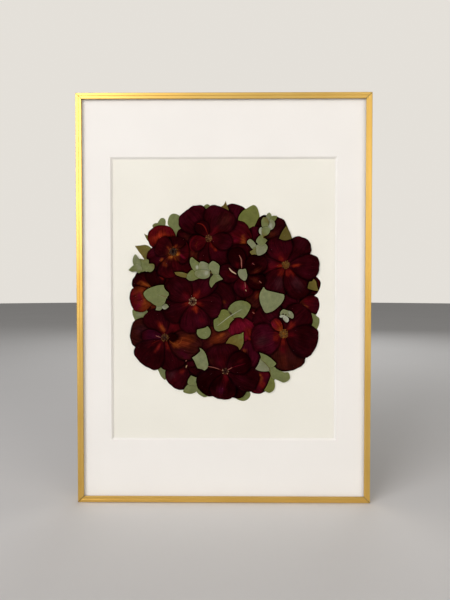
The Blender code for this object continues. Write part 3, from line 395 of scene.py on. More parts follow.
LEAVES = {
    "top_left_leaf": (
        Leaf((SAGE, SAGE), (
            (-97, 130), (-97, 138), (-94, 145.5), (-89, 149), (-84, 149), (-78, 146.5), (-72, 142),
            (-70, 130), (-70, 120), (-74, 116), (-80, 110), (-82.5, 106, CORNER), (-85, 113),
            (-90, 122))),
    ),
    "leaf_behind_red_petal": (
        Leaf((BRONZE, FOREST), (
            (-139, 115, CORNER), (-134, 112), (-126, 110.5), (-118, 106), (-124, 100), (-131, 101),
            (-135.5, 107)), 0.5),
        Leaf((FOREST, SAGE), (
            (-122.5, 125), (-124, 129), (-121, 132), (-117, 133), (-111, 131), (-106, 124),
            (-114, 120))),
        Leaf((FOREST, SAGE, SAGE), (
            (-115.5, 130), (-113.5, 136), (-109.5, 141), (-104.5, 141.5), (-101, 137), (-101.5, 130),
            (-104, 122), (-112, 121))),
    ),
    "serrated_leaf": (
        Leaf((BRONZE, OLIVE, FOREST), (
            (-155, 93.5, CORNER), (-146, 94), (-137, 95), (-130, 92.5), (-124, 87), (-119, 82, CORNER),
            (-124, 74), (-130, 67), (-137, 68), (-142, 75), (-148, 83)), 0.7),
    ),
    "three_lobed_leaf": (
        Leaf((SAGE, SAGE, OLIVE), (
            (-152, 66), (-146, 70.5), (-138, 69.5), (-131, 69), (-130.5, 62, CORNER), (-122, 61.5),
            (-120.5, 56), (-123, 50.5), (-128, 47.5, CORNER), (-137, 49), (-145, 48), (-152, 56))),
        Leaf((SAGE, PALE, SAGE), (
            (-153.5, 78.5), (-149.5, 74), (-145.5, 68), (-144, 60), (-147, 53), (-153, 54), (-157, 60),
            (-158.5, 67), (-157, 74))),
        Leaf((FOREST, SAGE, SILVER), (
            (-166, 51, CORNER), (-160.5, 56.5), (-154, 61), (-147, 60), (-142, 54), (-143.5, 48.5),
            (-148, 45.5), (-152, 48.5), (-160, 48))),
    ),
    "small_top_leaf": (
        Leaf((FOREST, SAGE), (
            (-35.5, 154), (-35.5, 160), (-32, 164.5), (-27, 165.5), (-22, 161), (-20, 155),
            (-28, 150))),
    ),
    "olive_tip": (
        Leaf((OLIVE, BRONZE), (
            (-5, 161, CORNER), (0, 164), (3.5, 171, CORNER), (6, 163), (10, 152, CORNER),
            (2, 150)), 0.4),
    ),
    "top_right_leaf": (
        Leaf((FOREST, FOREST), (
            (25.5, 124), (25, 135), (27, 145), (33, 153), (41, 158.5), (52, 164), (58.5, 159),
            (62, 148), (63, 137), (62, 129), (59, 118, CORNER), (46, 118), (34, 118))),
    ),
    "upper_olive_leaf": (
        Leaf((MOSS, MOSS), (
            (109, 128, CORNER), (115, 117), (119, 105.5, CORNER), (107, 102.5), (96, 105.5, CORNER),
            (102, 118)), 0.4),
    ),
    "right_olive_leaf": (
        Leaf((MOSS, OLIVE), (
            (149, 30), (154, 31.5), (156.5, 36, CORNER), (160.5, 31), (162.5, 22),
            (165.5, 14.5, CORNER), (158, 15.5), (149, 18), (146.5, 21)), 0.4),
    ),
    "right_edge_leaf": (
        Leaf((FOREST, SAGE), (
            (148, -24), (158, -26), (163.5, -30), (167, -33.5), (167, -42), (164, -50),
            (161, -56, CORNER), (155, -51), (149, -46), (146, -36))),
    ),
    "left_edge_leaf": (
        Leaf((SAGE, SAGE, SAGE), (
            (-159, -18), (-150, -17), (-134, -20), (-133, -30), (-136, -38), (-145, -42), (-150, -43),
            (-153.5, -41.5, CORNER), (-157, -33), (-159.5, -26))),
    ),
    "lower_left_leaf": (
        Leaf((SAGE, PALE), (
            (-117, -115), (-112.5, -130), (-108.5, -137), (-103.5, -142, CORNER), (-99, -138),
            (-97, -130), (-92, -124), (-90, -114), (-102, -111))),
    ),
    "bottom_leaf": (
        Leaf((FOREST, SAGE), (
            (13, -163), (20, -172.5), (27, -177), (35, -178.5), (41.5, -176), (46, -171), (47, -165),
            (42, -158), (36, -152), (30, -154), (24, -158))),
    ),
    "triangular_leaf": (
        Leaf((PALE, PALE, PALE), (
            (70, 21.5, CORNER), (72.5, 17.5), (75.5, 15.5), (83, 13.5), (92, 11.5), (100, 9.5),
            (105, 8), (105.5, 3), (102, -5), (96, -12), (88, -19), (80, -22.5), (74, -23.5),
            (70.5, -20.5), (66.5, -12), (63.5, -4), (62.5, 4), (64, 12), (67.5, 18))),
    ),
    "two_lobed_leaf": (
        Leaf((FOREST, SAGE, FOREST), (
            (8, -16.5, CORNER), (12, -10.5), (18, -5.5), (25, -3), (33, -2.5), (41, -5), (46, -9),
            (47, -13), (43.5, -21), (39.5, -27.5), (34, -33.5, CORNER), (29, -31), (22, -31.5),
            (17, -33), (13, -30), (8, -23))),
        Leaf((SAGE, FOREST, FOREST), (
            (-17, -37), (-14.5, -34.5), (-9, -31.5, CORNER), (-8.5, -26), (-6, -20.5), (-1, -18),
            (4, -18.5), (8, -20.5), (11.5, -25), (14.5, -29.5), (18, -35, CORNER), (14, -38.5),
            (10.5, -43), (8.5, -49.5), (3, -53), (-6, -55.5), (-11, -55.5), (-15.5, -52), (-17, -45))),
    ),
    "round_leaf": (
        Leaf((SAGE, SAGE), (
            (-46, -53, CORNER), (-46.5, -60), (-43, -65.5), (-37, -68.5), (-31, -68.5), (-25, -64.5),
            (-22.5, -58), (-24, -52), (-28, -47, CORNER), (-33, -50), (-40, -51.5))),
    ),
    "kite_leaf": (
        Leaf((SAGE, PALE, SAGE), (
            (-42, -85, CORNER), (-37.5, -87.5), (-33.5, -92), (-30.5, -98), (-28.5, -106), (-27, -114),
            (-28.5, -120), (-33.5, -124.5, CORNER), (-37, -122.5), (-45.5, -120.5, CORNER),
            (-48.5, -114), (-51, -108), (-55, -102, CORNER), (-49, -98.5), (-44, -94), (-40.5, -90))),
    ),
    "low_olive_leaf": (
        Leaf((OLIVE, OLIVE, FOREST), (
            (3, -79, CORNER), (6, -73.5), (10, -68), (15, -64.5), (22, -62), (30, -60.5),
            (34.5, -57.5, CORNER), (34.5, -66), (34.5, -75), (32, -83), (28, -88.5),
            (23, -94.5, CORNER), (20, -89), (15, -84.5), (9, -81)), 0.5),
    ),
    "large_pale_leaf": (
        Leaf((PALE, PALE), (
            (-117.5, -8), (-110, -8), (-106, -13), (-109.5, -18.5), (-113, -19.5),
            (-118.5, -18.5, CORNER), (-117, -14))),
        Leaf((WHITE, SILVER, SAGE), (
            (-107, -14.5), (-104.5, -9), (-100, -8), (-95.5, -12.5, CORNER), (-99, -16),
            (-103, -17.5))),
        Leaf((SAGE, SAGE), (
            (-139.5, 10), (-136.5, 14.5), (-131, 18.5), (-122, 22), (-112, 24.5), (-104.5, 25, CORNER),
            (-103.5, 20), (-100, 15), (-96.5, 12), (-95.5, 8), (-98, 4.5), (-100.5, 0), (-102.5, -6),
            (-104, -8), (-107, -10.5), (-113, -11.5), (-119.5, -10), (-126, -5.5), (-133, -1),
            (-137.5, 5))),
    ),
    "leaf_on_flower": (
        Leaf((PALE, SILVER, PALE), (
            (25, 46), (26, 50.5), (29.5, 52.5), (33, 52), (38, 53), (40, 47), (41, 41), (39.5, 35.5),
            (36.5, 32.5), (31, 35.5), (27, 40))),
    ),
    "white_leaf": (
        Leaf((PALE, SILVER, PALE), (
            (110, -20.5), (114, -20), (118, -21.5), (121.5, -26), (122, -31), (119.5, -33.5),
            (115, -31.5), (110, -29), (107, -25))),
        Leaf((PALE, PALE), (
            (98.5, -25), (100, -21), (104, -17.5), (108, -18.5), (112, -20), (112.5, -26), (109, -29.5),
            (104, -28.5), (100, -28.5))),
        Leaf((WHITE, WHITE), (
            (97.5, -29.5), (101, -27.5), (106, -27.5), (108, -29.5), (103, -31.5), (98.5, -31.5))),
        Leaf((SILVER, WHITE, WHITE), (
            (104.5, -30), (109, -29.5), (113, -33), (113.5, -37), (110.5, -40.2), (106.5, -38),
            (103.5, -34))),
    ),
    "silver_sprig": (
        Leaf((BRONZE, OLIVE), (
            (64, 94), (66, 108), (72, 124), (78, 138), (76, 124), (70, 108), (67, 94))),
        Leaf((SILVER, SAGE), (
            (74, 142), (75.5, 148), (79.5, 150.5), (83, 146), (83, 139), (78, 135))),
        Leaf((SAGE, FOREST), (
            (81, 138), (84, 144.5), (92.5, 145, CORNER), (92, 141), (88, 135), (85, 129), (79, 131))),
        Leaf((WHITE, SILVER, PALE), (
            (79, 130), (80.5, 138), (86, 137), (88.8, 132), (88, 126), (84, 121.5), (78, 120.5),
            (75, 125))),
        Leaf((SAGE, SAGE, OLIVE), (
            (67, 126), (65.5, 133), (66.5, 139), (70, 142.3), (75, 141), (78, 135), (77, 127),
            (73, 121))),
        Leaf((SILVER, WHITE, PALE), (
            (66, 125), (62, 122.5), (61.2, 118), (63, 113.5), (67.5, 111.5), (71, 117))),
        Leaf((OLIVE, SAGE, PALE), (
            (66.5, 122), (70, 125), (76, 125.3), (80.7, 123), (80, 117.5), (77, 113), (72.5, 110.3),
            (68.5, 111), (66, 115))),
        Leaf((PALE, SILVER, SAGE), (
            (41, 99), (43, 103), (46.5, 104.5), (51, 101.5), (56, 95.5), (59, 91), (55, 88.5),
            (50.5, 87.5), (46, 92.5))),
        Leaf((OLIVE, SAGE), (
            (46, 83), (50, 85.5), (54, 90), (58.5, 91), (61, 84), (60, 77.5), (54, 78.3),
            (49, 77.5, CORNER), (46.3, 80.5))),
        Leaf((SILVER, SILVER, PALE), (
            (57, 93), (60.5, 95.5), (66, 94), (72, 96.5), (76, 92), (75.5, 87), (72.5, 81.5),
            (68, 78.3), (61.5, 76.2), (57.8, 78), (57, 85))),
        Leaf((PALE, SAGE, OLIVE), (
            (56.5, 101), (59, 106.5), (63, 110.5), (67, 111.5), (68.5, 106, CORNER), (72, 105.5),
            (76, 102.5, CORNER), (73, 98.5), (71, 96), (66, 93), (60.5, 95.5))),
    ),
    "centre_sprig": (
        Leaf((BRONZE, OLIVE), (
            (-66, 40), (-50, 44), (-36, 48), (-20, 48), (-12, 45), (-20, 45.5), (-40, 43))),
        Leaf((BRONZE, OLIVE, SAGE), (
            (-85.5, 47, CORNER), (-78, 47.5), (-70, 46.5), (-64, 44.5), (-59, 42), (-62, 38),
            (-70, 38.3), (-78, 40.5), (-83, 43))),
        Leaf((SAGE, FOREST), (
            (-63, 43), (-58, 49), (-53, 51.5), (-46, 50), (-41, 44), (-41.5, 38), (-47, 35),
            (-54, 32.5), (-60, 33), (-64.5, 36.5, CORNER))),
        Leaf((SAGE, SAGE, FOREST), (
            (-55, 73), (-51, 70), (-46, 66), (-41.5, 62), (-40, 55), (-43, 49), (-48, 48), (-54, 53),
            (-57, 59), (-58.7, 65), (-58, 70.5))),
        Leaf((SAGE, SILVER, SAGE), (
            (-43, 59), (-41, 64.5), (-37, 65.8), (-32, 64.5), (-26, 61), (-23.5, 55), (-24, 49),
            (-29, 46), (-38, 46), (-43, 51))),
        Leaf((SAGE, PALE, SILVER), (
            (-50, 47), (-46, 50), (-38, 51), (-29, 50.5), (-24.5, 47), (-24, 42), (-27, 38), (-33, 36),
            (-40, 36.2), (-46, 39), (-50, 43))),
        Leaf((SAGE, PALE, SAGE), (
            (-25.5, 60), (-22, 64.5), (-18.5, 66.6), (-14, 64.5), (-9, 61), (-6.8, 57.5, CORNER),
            (-8, 50), (-9, 43), (-13, 41), (-18.5, 43.5), (-22, 50), (-25.5, 53))),
        Leaf((SAGE, SAGE, PALE), (
            (-17.5, 43, CORNER), (-13, 42), (-8.5, 43), (-5, 39), (-1.2, 35, CORNER), (-7, 33),
            (-13, 30), (-18, 25), (-21, 20, CORNER), (-24, 25), (-24.3, 32), (-22, 38))),
    ),
    "bottom_left_sprig": (
        Leaf((SAGE, FOREST), (
            (-50, -149), (-43, -146), (-40, -149), (-39.5, -156), (-35, -161), (-29, -165),
            (-26.5, -167, CORNER), (-29, -170.5), (-34, -171.7), (-40, -169), (-45, -165), (-48, -161),
            (-51, -156))),
        Leaf((FOREST, SAGE, SAGE), (
            (-71, -162), (-68, -156), (-63, -150), (-55, -148), (-48, -150), (-45.5, -158),
            (-49.5, -163), (-57, -165.7), (-65, -165))),
        Leaf((SAGE, SAGE, PALE), (
            (-63, -147), (-61.5, -140), (-57, -133.5, CORNER), (-52, -135.5), (-46, -137), (-42, -133),
            (-40.5, -131, CORNER), (-37.5, -133), (-38, -139), (-40, -146), (-44, -150), (-52, -151),
            (-59, -150))),
        Leaf((SILVER, WHITE, SILVER), (
            (-43.5, -147.5), (-40.8, -148), (-39.3, -153), (-40.3, -158.5), (-43, -154))),
    ),
    "lower_right_sprig": (
        Leaf((FOREST, FOREST), (
            (83, -134), (87, -139), (89, -144), (90, -150), (89, -156), (85.5, -161), (80, -163.7),
            (74.5, -162), (71, -159, CORNER), (75.5, -152), (79, -144), (81, -139))),
        Leaf((SAGE, SAGE, FOREST), (
            (80, -116), (87, -117), (93, -122), (100, -125.5), (107, -127.5), (113, -127.5),
            (115.5, -132), (116, -138), (112, -143), (105, -145.7), (99, -143.5), (91, -140),
            (85, -138), (82, -130), (78, -122))),
        Leaf((SILVER, SILVER, SAGE), (
            (64, -103, CORNER), (70, -109), (76, -114), (80, -119), (79.5, -125.5, CORNER), (70, -126),
            (61, -124.5), (55.5, -121.5, CORNER), (60, -115), (62.5, -109))),
        Leaf((FOREST, SAGE, FOREST), (
            (62, -93, CORNER), (68, -95), (75, -98), (82, -102.5), (88, -108), (91.5, -112), (90, -115),
            (87.5, -117), (84, -119), (79, -118), (73, -111), (65, -104.5, CORNER), (65, -99))),
    ),
}

# Marks of colour: an oval patch on one petal or leaf, counted from the lowest
Mark = namedtuple("Mark", "layer x z along across turn tone")

MARKS = {
    "top_bloom": (
        Mark(5, -15, 121, 17, 4, 52, RUBY),
        Mark(5, -9, 115, 15, 4, 28, RUBY),
        Mark(0, -62, 108, 13, 10, 180, UMBER),
        Mark(8, -52, 98, 11, 6, 110, PLUM),
        Mark(2, -22, 95, 10, 5, 275, SCARLET),
        Mark(3, -18, 92, 13, 6, 300, RED),
        Mark(3, -14, 86, 4, 3, 300, SCARLET),
        # Grey-mauve patch, partly painted sheen
        Mark(6, 12, 84, 16, 8, 340, DUSK),
        Mark(8, -47, 96, 14, 8, 200, RUBY),
        Mark(5, -13, 118, 11, 6, 40, RUBY),
        Mark(5, 2, 136, 26, 20, 60, UMBER),
        Mark(4, -48, 140, 18, 14, 130, PLUM),
    ),
    "rose": (
        Mark(0, -107, 68, 9, 5, 115, AMBER),
        Mark(1, -102, 61, 8, 6, 130, RUST),
        Mark(0, -114, 72, 9, 7, 60, MAUVE),
        Mark(0, -97, 79, 7, 5, 30, AMBER),
        Mark(1, -92, 74, 7, 7, 80, AMBER),
        Mark(1, -90, 74, 3, 3, 80, GOLDEN),
        Mark(1, -83, 72, 9, 6, 300, AMBER),
        Mark(2, -80, 80, 5, 8, 60, AMBER),
        Mark(2, -81, 78, 3, 4, 60, GOLDEN),
        Mark(3, -83, 93, 7, 2.4, 62, RUST),
        Mark(4, -96, 89, 8, 2.4, 130, RUST),
        Mark(1, -84, 62, 14, 10, 280, CLARET),
        Mark(2, -71, 74, 9, 3, 320, MAGENTA),
    ),
    "red_petal": (
        Mark(0, -108, 108, 20, 22, 90, SCARLET),
        Mark(0, -121, 116, 9, 16, 140, RUBY),
        Mark(0, -96, 118, 9, 14, 60, RUBY),
    ),
    "right_bloom": (
        Mark(4, 126, 59, 12, 4, 7, SCARLET),
        Mark(3, 119, 47, 12, 9, 310, RED),
        Mark(3, 110, 46, 9, 5, 280, RED),
        Mark(1, 101, 46, 12, 10, 240, RED),
        # Grey-mauve patches, partly painted sheen
        Mark(1, 98, 28, 20, 15, 243, DUSK),
        Mark(3, 128, 27, 20, 13, 303, DUSK),
        Mark(5, 95, 80, 26, 10, 120, RUBY),
        Mark(5, 100, 70, 9, 6, 118, RED),
        Mark(0, 88, 55, 22, 14, 185, RUBY),
        Mark(0, 99, 58, 8, 5, 180, SCARLET),
        Mark(5, 90, 90, 20, 13, 120, PLUM),
        Mark(4, 146, 45, 18, 12, 340, PLUM),
    ),
    "left_centre_bloom": (
        Mark(2, -48, 7, 14, 8, 60, RED),
        Mark(3, -66, 7, 12, 7, 140, RUBY),
        Mark(1, -42, -8, 12, 5, 350, RED),
        Mark(4, -49, -15, 11, 8, 280, SCARLET),
        Mark(0, -64, -8, 11, 6, 205, RED),
        Mark(4, -40, -38, 18, 15, 280, MAUVE),
        Mark(4, -38, -36, 10, 8, 280, RUBY),
    ),
    "left_bloom": (
        Mark(4, -111, -45, 12, 7, 110, RED),
        Mark(4, -107, -51, 9, 6, 115, AMBER),
        Mark(3, -64, -70, 20, 12, 0, RUST),
        # Grey-mauve patch, partly painted sheen
        Mark(1, -142, -54, 18, 14, 170, DUSK),
        Mark(2, -88, -49, 18, 13, 50, RUBY),
        Mark(5, -118, -60, 9, 5, 175, MAUVE),
        Mark(3, -74, -76, 26, 9, 340, RUST),
        Mark(3, -84, -80, 14, 7, 330, AMBER),
        Mark(3, -70, -96, 22, 12, 330, MAUVE),
        Mark(0, -98, -82, 13, 5, 285, RED),
        Mark(6, -116, -86, 14, 4, 235, RED),
        Mark(6, -126, -80, 12, 5, 210, CLARET),
    ),
    "lower_left_bloom": (
        Mark(2, -73, -127, 8, 6, 240, RED),
        Mark(2, -85, -140, 18, 14, 230, CLARET),
        # Grey-mauve patch, partly painted sheen
        Mark(2, -92, -132, 16, 10, 225, DUSK),
        Mark(4, -57, -112, 7, 5, 60, MAUVE),
    ),
    "bottom_bloom": (
        Mark(3, 3, -140, 17, 7, 268, RUBY),
        Mark(3, -4, -156, 15, 12, 265, PLUM),
        Mark(3, -5, -160, 9, 8, 265, VIOLET),
        Mark(1, -20, -146, 14, 9, 210, WINE),
        Mark(5, 32, -138, 16, 9, 325, PLUM),
        Mark(6, 28, -108, 12, 7, 31, CLARET),
        Mark(4, -2, -108, 18, 12, 95, CLARET),
        Mark(4, -22, -108, 12, 8, 150, UMBER),
    ),
    "low_right_bloom": (
        Mark(1, 34, -94, 12, 8, 20, AMBER),
        Mark(1, 48, -92, 18, 12, 80, MAUVE),
        Mark(2, 63, -138, 14, 7, 285, AMBER),
        Mark(2, 68, -150, 12, 8, 300, RED),
        Mark(2, 76, -140, 14, 5, 280, MAUVE),
    ),
    "lower_right_bloom": (
        Mark(5, 93, -45, 14, 9, 125, RED),
        Mark(5, 95, -43, 12, 2.5, 125, SCARLET),
        Mark(5, 100, -52, 8, 5, 125, AMBER),
        Mark(5, 88, -45, 8, 6, 120, MAGENTA),
        Mark(4, 92, -66, 9, 11, 190, RED),
        Mark(4, 70, -64, 20, 16, 200, MAUVE),
        # Grey-mauve patch, partly painted sheen
        Mark(4, 67, -73, 16, 15, 200, DUSK),
        Mark(2, 104, -75, 10, 6, 275, RED),
        Mark(2, 104, -88, 14, 10, 275, RUBY),
        Mark(2, 104, -108, 20, 12, 275, BROWN),
        Mark(2, 118, -108, 14, 8, 285, UMBER),
        Mark(1, 119, -46, 14, 8, 50, RED),
        Mark(3, 118, -62, 12, 7, 345, RUBY),
        Mark(0, 78, -35, 18, 12, 130, PLUM),
    ),
    "centre_bloom": (
        Mark(2, 37, 25, 14, 13, 277, RUBY),
        Mark(2, 36, 22, 9, 8, 277, MAGENTA),
        Mark(1, 8, 46, 14, 6, 175, CLARET),
        Mark(5, 50, 62, 4, 3, 40, MAUVE),
        Mark(5, 57, 50, 15, 6, 25, BROWN),
        Mark(5, 66, 62, 6, 12, 60, WINE),
        Mark(3, 55, 33, 12, 6, 335, BROWN),
        Mark(4, 24, 60, 9, 5, 110, RUBY),
        Mark(1, 13, 41, 14, 4, 165, RUBY),
    ),
    "far_left_bloom": (
        Mark(4, -133, 0, 17, 13, 195, AMBER),
        Mark(4, -146, 2, 9, 15, 195, MAGENTA),
        Mark(4, -150, -12, 12, 7, 230, MAGENTA),
        Mark(2, -137, 26, 18, 7, 165, AMBER),
        Mark(2, -127, 24.5, 10, 4.5, 155, FLAME),
        Mark(2, -128, 36, 12, 8, 140, RUBY),
        Mark(3, -108, 37, 6, 3, 320, RED),
    ),
    "upper_right_bloom": (
        Mark(5, 34, 99, 17, 8, 88, AMBER),
        Mark(5, 21, 108, 20, 13, 150, RUBY),
        Mark(5, 18, 104, 12, 7, 150, MAGENTA),
        Mark(5, 42, 116, 12, 8, 140, CLARET),
        Mark(3, 84, 112, 8, 6, 30, BROWN),
        Mark(3, 81, 115, 4, 3, 30, RUST),
        Mark(0, 40, 74, 5, 4, 250, RUST),
    ),
    "right_edge_bloom": (
        Mark(3, 139, -11, 11, 4, 340, AMBER),
        Mark(3, 148, -4, 14, 8, 0, RUBY),
        Mark(2, 116, -4, 16, 9, 165, PLUM),
    ),
    "middle_bloom": (
        Mark(5, 26, -46, 16, 14, 270, MAGENTA),
        Mark(5, 44, -58, 15, 12, 300, RED),
        Mark(5, 47, -70, 6, 6, 290, SCARLET),
        Mark(2, 1, -5, 6, 4, 130, RUST),
        Mark(0, 62, 8, 12, 8, 40, RUST),
        Mark(4, 55, -25, 9, 3, 320, SCARLET),
    ),
    "amber_petal": (
        Mark(0, -12, -70, 17, 11, 205, RUST),
        Mark(0, -4, -62, 10, 6, 215, AMBER),
    ),
    "rear_top_petal": (Mark(0, 24, 146, 14, 12, 70, MAUVE),),
    "centre_sprig": (
        # Pale patches on the leaves: partly pale dust, partly painted highlight
        Mark(3, -45.5, 55, 6, 4, 110, WHITE),
        Mark(4, -33, 58, 7, 3.5, 0, SILVER),
        Mark(5, -31, 45, 7, 5, 60, WHITE),
        Mark(5, -42, 42, 8, 4, 20, SILVER),
    ),
    "silver_sprig": (
        Mark(3, 82, 128, 7, 4, 100, WHITE),
        Mark(7, 72, 122, 3, 2, 0, BRONZE),
        Mark(10, 66, 85, 9, 6, 80, WHITE),
        Mark(11, 66, 101, 7, 3, 20, SILVER),
    ),
    "three_lobed_leaf": (
        # Silver patches on the lobes: partly the leaf's own pale tone, partly painted highlight
        Mark(1, -151, 72, 6, 4, 90, SILVER),
        Mark(2, -147, 55, 9, 4, 60, SILVER),
    ),
    # A silver patch on the top leaf, partly its own pale tone and partly painted highlight
    "bottom_left_sprig": (Mark(2, -46, -140, 7, 4, 30, SILVER),),
    "lower_right_sprig": (Mark(2, 66, -118, 8, 4, 30, SILVER),),
    "left_edge_leaf": (Mark(0, -146, -26, 10, 6, 20, SILVER),),
    "white_leaf": (Mark(0, 112.5, -22.5, 7, 2.4, 320, WHITE),),
    "two_lobed_leaf": (
        Mark(0, 12.5, -24, 8, 1.8, 304, UMBER),
        Mark(1, 11.5, -24.5, 8, 1.8, 304, UMBER),
    ),
    "large_pale_leaf": (Mark(2, -105, 5.5, 9, 1.4, 344, TAN),),
}

# Curled rims, folds and ribs: narrow raised strips along a line of points
Curl = namedtuple("Curl", "points width tone")

CURLS = {
    "top_bloom": (
        Curl(((-46, 132), (-39, 131), (-33, 126), (-29, 117), (-28, 112)), 2.0, RED),
        Curl(((-47, 111), (-54, 105), (-58, 97), (-57, 88), (-50, 82)), 3.4, RUBY),
        Curl(((-44, 101), (-48, 95), (-47, 88)), 1.2, RUST),
    ),
    "left_bloom": (
        Curl(((-119, -63.5), (-110, -67)), 1.3, PINK),
        Curl(((-126, -77.5), (-112, -71.5)), 1.3, RED),
        Curl(((-95, -72), (-89, -77), (-81, -79), (-75, -75), (-72, -66)), 1.8, AMBER),
    ),
    "bottom_bloom": (
        Curl(((-28, -117.5), (-18, -119), (-7, -122.5)), 1.3, PINK),
        Curl(((5, -125), (10, -122), (15, -119)), 1.5, PINK),
        Curl(((12, -121), (19, -118), (27, -115.5), (39, -112)), 1.1, MAGENTA),
    ),
    "centre_bloom": (
        Curl(((9.5, 54.5), (14, 49), (22, 44)), 2.3, BONE),
        Curl(((27, 77), (30.5, 70), (31, 62), (31.5, 54)), 2.1, PINK),
        Curl(((28, 75), (30.5, 69), (31, 62)), 1.1, CREAM),
        Curl(((37, 31), (38, 20)), 1.0, PINK),
        Curl(((38, 17), (39.5, 14)), 1.6, CREAM),
        Curl(((62, 32), (66, 28)), 1.3, PINK),
        Curl(((50, 63), (53.5, 60)), 1.1, PINK),
    ),
    "middle_bloom": (
        Curl(((28, -36), (34, -43), (41, -46), (48, -43), (56, -39)), 1.6, MAGENTA),
        Curl(((50, -22), (56, -27), (60.5, -31)), 1.6, PINK),
    ),
    "far_left_bloom": (Curl(((-112, 39.5), (-105, 35.5)), 1.2, RED),),
    "white_leaf": (
        Curl(((102.2, -25.6), (103.8, -26), (105.4, -25.8)), 3.0, BLACK),
        Curl(((107, -26.2), (108.4, -26.6), (109.8, -26.4)), 2.8, BLACK),
    ),
    "two_lobed_leaf": (Curl(((-12, -47), (-4, -41), (9, -31), (20, -24), (32, -17)), 1.3, WHITE),),
    "large_pale_leaf": (Curl(((-117, 9), (-108, 5.5), (-100, 3)), 0.8, SILVER),),
    # A pale streak on the lower lobe: painted highlight on a raised strip
    "three_lobed_leaf": (Curl(((-147, 65), (-146, 57), (-143, 53)), 1.0, SILVER),),
    "low_olive_leaf": (Curl(((13, -83), (19, -78), (25, -72)), 0.7, BRONZE),),
    "centre_sprig": (Curl(((-24, 49), (-22, 46), (-20, 43)), 1.2, MAUVE),),
    "bottom_left_sprig": (Curl(((-43, -147), (-42, -152), (-43, -157)), 1.6, WHITE),),
    "lower_left_bloom": (
        Curl(((-67, -109), (-64, -106), (-60, -104)), 1.8, PINK),
        Curl(((-66, -120), (-65, -117), (-64, -115)), 1.8, CREAM),
    ),
    "lower_right_sprig": (Curl(((66, -105), (79, -119), (82, -130), (84, -138)), 0.9, BRONZE),),
}


def between(low, high, share):
    return low + (high - low) * share


def mix(first, second, share):
    return tuple(between(a, b, share) for a, b in zip(first, second))


def shaded(tone, light):
    return tuple(value * light for value in tone)


def ease(value):
    """0 below 0, 1 above 1 and smooth in between."""
    value = min(max(value, 0.0), 1.0)
    return value * value * (3 - 2 * value)


def fade(gap, reach):
    """1 at a gap of 0, and 0 from reach on."""
    return 1 - ease(gap / reach)


def uneven(place, size, seed):
    """Smooth noise between -1 and 1 at a place, in blobs of a size."""
    return noise(Vector((place.x / size, place.y / size, seed)))


def arm(angle):
    return Vector((math.cos(angle), math.sin(angle)))


def left_of(direction):
    return Vector((-direction.y, direction.x))


def on_card(place, y):
    """A place on the card, in millimetres, in the frame's own metres, as y is."""
    return (place.x * MM, y, CENTRE_Z + place.y * MM)


def ragged_ring(centre, radius, sides, wave):
    """Places round a centre whose distance from it waves by a share."""
    ring = []
    for k in range(sides):
        angle = 2 * math.pi * k / sides
        ring.append(centre + arm(angle) * radius * (1 + wave * math.sin(LOBES * angle + centre.x)))
    return ring


def placed(name, data):
    """A new object in the scene."""
    thing = bpy.data.objects.new(name, data)
    bpy.context.scene.collection.objects.link(thing)
    return thing


def finished(name, mesh, build, material, crease):
    """A piece whose faces all look outwards, sharp only at edges past the angle crease."""
    bmesh.ops.recalc_face_normals(build, faces=build.faces)
    build.to_mesh(mesh)
    build.free()
    mesh.shade_smooth()
    mesh.set_sharp_from_angle(angle=math.radians(crease))
    mesh.materials.append(material)
    return placed(name, mesh)


class Surface:
    """Gathers points and faces, with a tint and a grain direction at each point."""

    def __init__(self):
        self.points, self.faces, self.tints, self.grains = [], [], [], []

    def point(self, place, tint, grain=(0.0, 0.0, 0.0)):
        self.points.append(place)
        self.tints.append((*tint, 1.0))
        self.grains.append(grain)
        return len(self.points) - 1

    def join_rings(self, rings):
        """Faces between closed rings of equal length, and one on each end."""
        for near, far in zip(rings, rings[1:]):
            for k in range(len(near)):
                self.faces.append((near[k - 1], near[k], far[k], far[k - 1]))
        self.faces.append(tuple(reversed(rings[0])))
        self.faces.append(tuple(rings[-1]))

    def join_rows(self, rows):
        """Faces between open rows of points, the first and last of which are single points."""
        base, tip = rows[0][0], rows[-1][0]
        first, last = rows[1], rows[-2]
        for i in range(len(first) - 1):
            self.faces.append((base, first[i], first[i + 1]))
            self.faces.append((tip, last[i + 1], last[i]))
        for near, far in zip(rows[1:], rows[2:-1]):
            for i in range(len(near) - 1):
                self.faces.append((near[i], far[i], far[i + 1], near[i + 1]))

    def skirt(self, edge, back):
        """Closes a sheet: walls from its edge down to y = back, and a face there."""
        under = []
        for index in edge:
            x, _, z = self.points[index]
            under.append(self.point((x, back, z), self.tints[index][:3], self.grains[index]))
        for i in range(len(edge)):
            self.faces.append((edge[i - 1], under[i - 1], under[i], edge[i]))
        self.faces.append(tuple(under))

    def stand_for(self, node, material):
        """Makes the surface a piece in place of a CAD node."""
        name = node + "_pressed"
        mesh = bpy.data.meshes.new(name)
        mesh.from_pydata(self.points, [], self.faces)
        tint = mesh.attributes.new("tint", "FLOAT_COLOR", "POINT")
        tint.data.foreach_set("color", [value for row in self.tints for value in row])
        grain = mesh.attributes.new("grain", "FLOAT_VECTOR", "POINT")
        grain.data.foreach_set("vector", [value for row in self.grains for value in row])
        build = bmesh.new()
        build.from_mesh(mesh)
        piece = finished(name, mesh, build, material, SHEET_CREASE)
        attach(piece, "root")
        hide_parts(node)


# What lies on what


